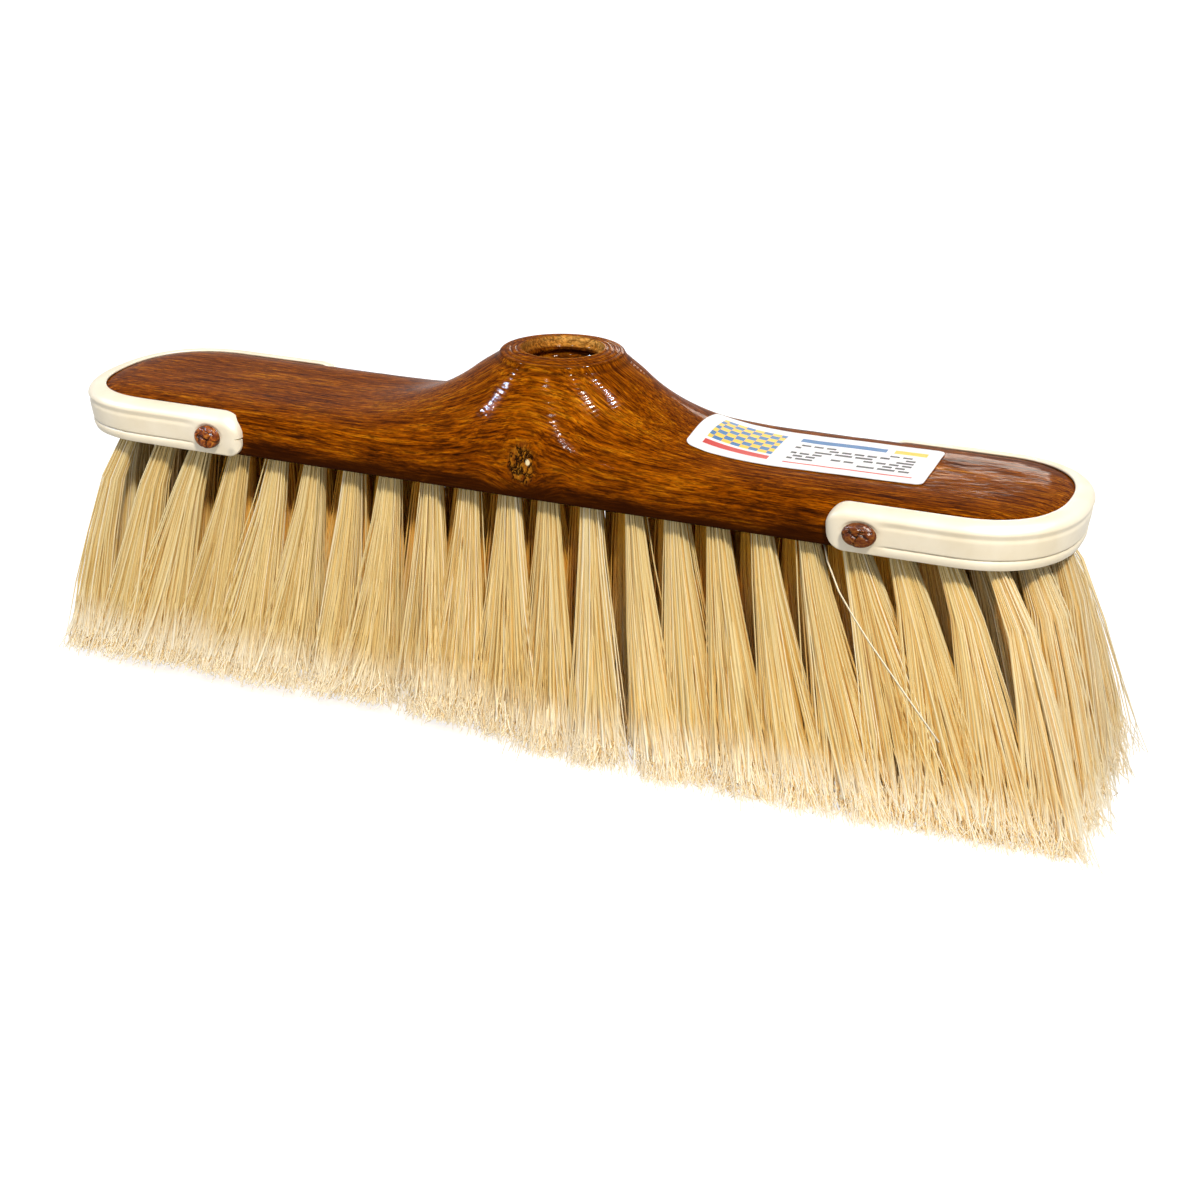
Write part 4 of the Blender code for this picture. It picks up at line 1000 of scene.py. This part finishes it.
# For each kind: its input, its stations, where it begins and ends on the way down, its girth and its tones.
KINDS = (
    ("Filaments", 6, (0, 0), 1, 1, (0, 1)),
    ("Flags", 5, (0.8, 0.93), 1, 1.2, (0.5, 1)),
    # Cores take darker tones, as painted shade for the depth of a lock.
    ("Cores", 5, (0, 0), 0.93, 3.4, (0.2, 0.6)),
)
MOST_LOCKS = 50
lines = []
for amount, stations, begin, finish, girth, tones in KINDS:
    per_tuft = {"Geometry": given["Geometry"], "Amount": given[amount]}
    copies = add_node(tufts, "GeometryNodeDuplicateElements", per_tuft, domain="POINT")
    lock = add_node(tufts, "Math MODULO", copies.outputs["Duplicate Index"], given["Locks"])
    lock = add_node(tufts, "Math MULTIPLY_ADD", read("tuft", "INT"), MOST_LOCKS, lock)
    # A thick filament keeps inside the bundle.
    edge = 0.72 if girth > 1 else 1
    box = {"Min": (-edge, -edge, -1), "Max": (edge, edge, 1), "Seed": given["Seed"]}
    of_lock = add_node(tufts, "FunctionNodeRandomValue FLOAT_VECTOR", {**box, "ID": lock})
    alone = add_node(tufts, "FunctionNodeRandomValue FLOAT_VECTOR", box)
    root = add_node(tufts, "GeometryNodeInputPosition")
    points = store(copies, "FLOAT_VECTOR", root=root, lock=of_lock, alone=alone)
    for name, (low, high), seed in (("tint", tones, 7), ("begin", begin, 3)):
        luck = add_node(tufts, "FunctionNodeRandomValue FLOAT", {"Min": low, "Max": high, "Seed": seed})
        points = store(points, "FLOAT", **{name: luck})
    points = store(points, "FLOAT", finish=finish, girth=girth)
    line = add_node(tufts, "GeometryNodeCurvePrimitiveLine")
    line = add_node(tufts, "GeometryNodeResampleCurve", {"Curve": line, "Count": stations})
    lines.append(add_node(tufts, "GeometryNodeInstanceOnPoints", {"Points": points, "Instance": line}))
joined = add_node(tufts, "GeometryNodeJoinGeometry", lines[0])
for more in lines[1:]:
    tufts.links.new(more.outputs[0], joined.inputs[0])
curves = add_node(tufts, "GeometryNodeRealizeInstances", joined)
print("nodes so far:", len(tufts.nodes))

# %% The way down
# share runs from 0 in the hole to 1 at the tip, with more of its stations near the tip, where hairs turn.
NEAR_TIP = 1.35
factor = add_node(tufts, "GeometryNodeSplineParameter").outputs["Factor"]
left = chain(tufts, 1, ("Math SUBTRACT", factor), ("Math POWER", NEAR_TIP))
share = chain(tufts, 1, ("Math SUBTRACT", left), ("MapRange", 0, 1, read("begin"), read("finish")))
curves = store(curves, "FLOAT", along=share)
splay = add_node(tufts, "Math POWER", share, read("bow"))
open_out = add_node(tufts, "Math POWER", share, given["Opening"])
way = add_node(tufts, "CombineXYZ", splay, splay, share)
tip, root, of_lock, alone = (read(name, "FLOAT_VECTOR") for name in ("tip", "root", "lock", "alone"))
drop = add_node(tufts, "VectorMath SUBTRACT", tip, root)
middle = add_node(tufts, "VectorMath MULTIPLY_ADD", drop, way, root)

# Locks hold together more towards the tips: the lock's share of the offset grows from a third to two thirds.
lock_weight = add_node(tufts, "MapRange", share, 0, 1, 0.35, 0.68)
own_weight = add_node(tufts, "Math SUBTRACT", 1.05, lock_weight)
by_self = add_node(tufts, "VectorMath SCALE", alone, own_weight)
offset = chain(tufts, of_lock, ("VectorMath SCALE", lock_weight), ("VectorMath ADD", by_self))
fanned = add_node(tufts, "Math MULTIPLY", given["Tip Reach Along"], read("fan"))
wide = (fanned, given["Tip Reach Across"])
reach = [add_node(tufts, "MapRange", open_out, 0, 1, given["Root Radius"], most) for most in wide]
reach = add_node(tufts, "CombineXYZ", *reach, 0)
middle = add_node(tufts, "VectorMath MULTIPLY_ADD", offset, reach, middle)
print("nodes so far:", len(tufts.nodes))

# %% Waves, frizz and ragged ends
# Each kind of wave is a rate along the filament, a size, and the share of the way down where it sets in.
WAVES = ((2.2, 3 * MM, 0.05), (14, 13 * MM, 0.82))
seeded = add_node(tufts, "VectorMath SCALE", alone, 40)
for rate, size, onset in WAVES:
    run = add_node(tufts, "CombineXYZ", 0, 0, add_node(tufts, "Math MULTIPLY", share, rate))
    run = add_node(tufts, "VectorMath ADD", seeded, run)
    wave = add_node(tufts, "TexNoise", {"Vector": run, "Scale": 1, "Detail": 0}).outputs["Color"]
    wave = add_node(tufts, "VectorMath SUBTRACT", wave, (0.5, 0.5, 0.5))
    grown = add_node(tufts, "MapRange", share, onset, 1, 0, size)
    flat = add_node(tufts, "CombineXYZ", grown, grown, 0)
    middle = add_node(tufts, "VectorMath MULTIPLY_ADD", wave, flat, middle)
luck = add_node(tufts, "SeparateXYZ", alone).outputs["Z"]
ragged = ("Math MULTIPLY", given["Ragged"])
short = chain(tufts, luck, ("Math MULTIPLY", luck), ragged, ("Math MULTIPLY", share))
middle = add_node(tufts, "VectorMath ADD", middle, add_node(tufts, "CombineXYZ", 0, 0, short))
curves = add_node(tufts, "GeometryNodeSetPosition", {"Geometry": curves, "Position": middle})
print("kinds of wave:", len(WAVES))

# %% From curves to solid filaments
# A filament tapers towards its tip, and a thick one is slimmer where it leaves the hole.
profile = {"Resolution": 3, "Radius": given["Filament Radius"]}
triangle = add_node(tufts, "GeometryNodeCurvePrimitiveCircle", profile)
girth = read("girth")
root_girth = add_node(tufts, "Math SQRT", girth)
girth = add_node(tufts, "MapRange", share, 0, 1, root_girth, girth)
taper = chain(tufts, share, ("MapRange", 0.8, read("finish"), 1, 0.6), ("Math MULTIPLY", girth))
sweep = {"Curve": curves, "Profile Curve": triangle, "Scale": taper, "Fill Caps": True}
solid = add_node(tufts, "GeometryNodeCurveToMesh", sweep)
solid = chain(tufts, solid, ("GeometryNodeSetShadeSmooth",), ("GeometryNodeRealizeInstances",))
solid = add_node(tufts, "GeometryNodeSetMaterial", {"Geometry": solid, "Material": straw})
add_node(tufts, "NodeGroupOutput", solid)
print("nodes in the tree:", len(tufts.nodes))

# %% One stray filament
# One pale filament on the right has sprung out of its tuft and lies across the others.
STRAY_RADIUS = 0.3
STRAY_WAY = [(80, -22.8, 68), (81.7, -24.6, 64.2), (85.8, -27.5, 58), (90.3, -29.3, 52.8)]
STRAY_WAY += [(95, -31, 47.7), (105, -33.3, 37.1), (110, -34.3, 31.8), (115, -35.2, 26.5)]
corners = [Vector((math.cos(a), 0, math.sin(a))) * STRAY_RADIUS for a in (0, 2.1, 4.2)]
stray = bpy.data.meshes.new("stray")
faces = [(0, 1, 2), (21, 23, 22)]
for k in range(len(STRAY_WAY) - 1):
    faces += [(3 * k + i, 3 * k + 3 + i, 3 * k + 3 + (i + 1) % 3, 3 * k + (i + 1) % 3) for i in range(3)]
stray.from_pydata([(Vector(p) + c) * MM for p in STRAY_WAY for c in corners], [], faces)
stray.shade_smooth()
for name, values in (("along", [k / 8 for k in range(8) for _ in corners]), ("tint", [1.0] * 24)):
    stray.attributes.new(name, "FLOAT", "POINT").data.foreach_set("value", values)
print("stray filament:", len(stray.polygons), "faces")

# %% Five rows of tufts
identifiers = {item.name: item.identifier for item in tufts.interface.items_tree if item.in_out == "INPUT"}
total = 0
for number, (row, roots) in enumerate(row_roots.items()):
    grower = in_scene(row + "_grower", roots)
    growing = grower.modifiers.new("tufts", "NODES")
    growing.node_group = tufts
    outer = row.endswith("outer")
    values = {"Filaments": 172 if outer else 156, "Flags": 92 if outer else 88, "Seed": 20 + number}
    if row != "front_outer":
        values.update({"Opening": 0.85, "Root Radius": 2.7 * MM})
    for name, value in values.items():
        growing[identifiers[name]] = value
    mesh = evaluated(grower)
    if row == "front_outer":
        bm = bmesh.new()
        bm.from_mesh(mesh)
        bm.from_mesh(stray)
        bm.to_mesh(mesh)
        bm.free()
    bpy.data.objects.remove(grower)
    for name in ("root", "tip", "lock", "alone", "begin", "finish", "girth", "fan", "bow", "tuft"):
        mesh.attributes.remove(mesh.attributes[name])
    bristles = in_scene(row + "_bristles", mesh)
    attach(bristles, BODY)
    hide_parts(row + "_tufts")
    triangles = sum(len(p.vertices) - 2 for p in mesh.polygons)
    total += triangles
    print(bristles.name, "triangles:", triangles)
print("bristle triangles in all:", total)

# %% [markdown]
# ## Camera and light
# The camera stands where the photographer stood, to the right of the front and a little above, with a long
# lens so that the far end is only slightly smaller. One lamp stands in for the sun through a soft screen,
# high over the front right, which is where the shadow of the block on the tufts says it was. Two wide fills,
# from the front and from behind, and a soft sky lighten the shadows. Four small windows and a pale wall
# behind light nothing, but give the varnish something to reflect. The sky is dim behind the object, because a
# clear coat reflects most at a grazing angle, where a bright wall would turn the brown grey. The floor and the
# sky are white where they are looked at, straight or in a reflection, and give less light than that.

# %% The camera
YAW, PITCH, ROLL = (math.radians(a) for a in (-22.7354, 22.3102, 0.594))
forward = Vector((math.sin(YAW) * math.cos(PITCH), math.cos(YAW) * math.cos(PITCH), -math.sin(PITCH)))
level = Vector((math.cos(YAW), -math.sin(YAW), 0))
up = level.cross(forward)
right = level * math.cos(ROLL) + up * math.sin(ROLL)
up = up * math.cos(ROLL) - level * math.sin(ROLL)
CAMERA_PLACE, FOCAL_LENGTH = (0.2203, -0.49868, 0.25469), 64.7034
camera = in_scene("camera", bpy.data.cameras.new("camera"))
camera.data.sensor_width = 36
camera.data.lens = FOCAL_LENGTH
camera.data.clip_start, camera.data.clip_end = 0.02, 50
turned = Matrix((right, up, -forward)).transposed().to_4x4()
camera.matrix_world = Matrix.Translation(CAMERA_PLACE) @ turned
bpy.context.scene.camera = camera
print("camera looks along", [round(c, 3) for c in forward])

# %% The floor
def seen_directly(tree):
    """1 for rays that show the surface itself, straight, in a gloss or through glass, and 0 for light."""
    rays = add_node(tree, "LightPath").outputs
    glossy, through = (("Math MAXIMUM", rays[name]) for name in ("Is Glossy Ray", "Is Transmission Ray"))
    return chain(tree, rays["Is Camera Ray"], glossy, through)


FLOOR_RADIUS, FLOOR_DROP = 8, 0.2 * MM
floor_mesh = bpy.data.meshes.new("floor")
bm = bmesh.new()
bmesh.ops.create_circle(bm, cap_ends=True, segments=64, radius=FLOOR_RADIUS)
bm.to_mesh(floor_mesh)
bm.free()
floor = in_scene("floor", floor_mesh)
floor.location.z = -FLOOR_DROP
pale, tree, shader, _ = new_material("pale_floor")
lift = add_node(tree, "Math MULTIPLY", seen_directly(tree), 0.8)
fill(shader, {"Base Color": 0x8E8E8E, "Roughness": 1, "Emission Color": 0xFFFFFF, "Emission Strength": lift})
floor_mesh.materials.append(pale)
print("floor radius in m:", FLOOR_RADIUS)

# %% The sky
world = bpy.data.worlds.new("sky")
bpy.context.scene.world = world
world.use_nodes = True
tree = world.node_tree
tree.nodes.clear()
way = add_node(tree, "TexCoord").outputs["Generated"]
facing = add_node(tree, "VectorMath DOT_PRODUCT", way, (-0.15, -0.6, 0.79))
glow = add_node(tree, "MapRange", facing, 0, 1, 0.2, 0.55)
sky = add_node(tree, "Background", {"Color": 0xE6EDFF, "Strength": glow})
page = add_node(tree, "Background", {"Color": 0xFFFFFF, "Strength": 1})
shown = add_node(tree, "MixShader", seen_directly(tree), sky, page)
add_node(tree, "OutputWorld", shown)
print("sky strength from 0.2 behind to 0.55 in front and above")

# %% The lamps
LAMP_DISTANCE = 1.5


def add_lamp(name, kind, way, colour, energy, **settings):
    """A lamp in a direction from the block. Only suns give light, and only fills don't show in the gloss."""
    data = bpy.data.lights.new(name, kind)
    data.color, data.energy = linear(colour)[:3], energy
    for setting, value in settings.items():
        setattr(data, setting, value)
    lamp = in_scene(name, data)
    lamp.visible_diffuse = kind == "SUN"
    lamp.visible_glossy = not name.endswith("fill")
    way = Vector(way).normalized()
    lamp.location = Vector((0, 0, UNDERSIDE)) + way * LAMP_DISTANCE
    lamp.rotation_mode = "QUATERNION"
    lamp.rotation_quaternion = way.to_track_quat("Z", "Y")


add_lamp("sun_screen", "SUN", (0.4, -0.54, 0.74), 0xFFF6E8, 0.96 * math.pi, angle=math.radians(7))
add_lamp("front_fill", "SUN", (0.1, -0.97, 0.22), 0xFFE9C8, 0.16 * math.pi, angle=math.radians(60))
add_lamp("back_fill", "SUN", (-0.25, 0.9, 0.35), 0xFFF1DC, 0.28 * math.pi, angle=math.radians(60))
add_lamp("left_window", "AREA", (-0.78, -0.32, 0.54), 0xCCE2FF, 52, shape="RECTANGLE", size=0.07, size_y=0.12)
add_lamp("right_window", "AREA", (0.505, 0, 0.863), 0xCCE2FF, 130, shape="RECTANGLE", size=0.08, size_y=0.12)
add_lamp("roof_window", "AREA", (0.371, -0.431, 0.823), 0xFFFAF0, 110, shape="DISK", size=0.08)
add_lamp("low_window", "AREA", (-0.129, -0.656, 0.744), 0xFFFFFF, 9, shape="DISK", size=0.04)
add_lamp("back_wall", "AREA", (-0.19, 0.935, 0.25), 0xFFF4E6, 5, shape="RECTANGLE", size=0.5, size_y=0.2)
bpy.context.scene.view_settings.view_transform = "Standard"
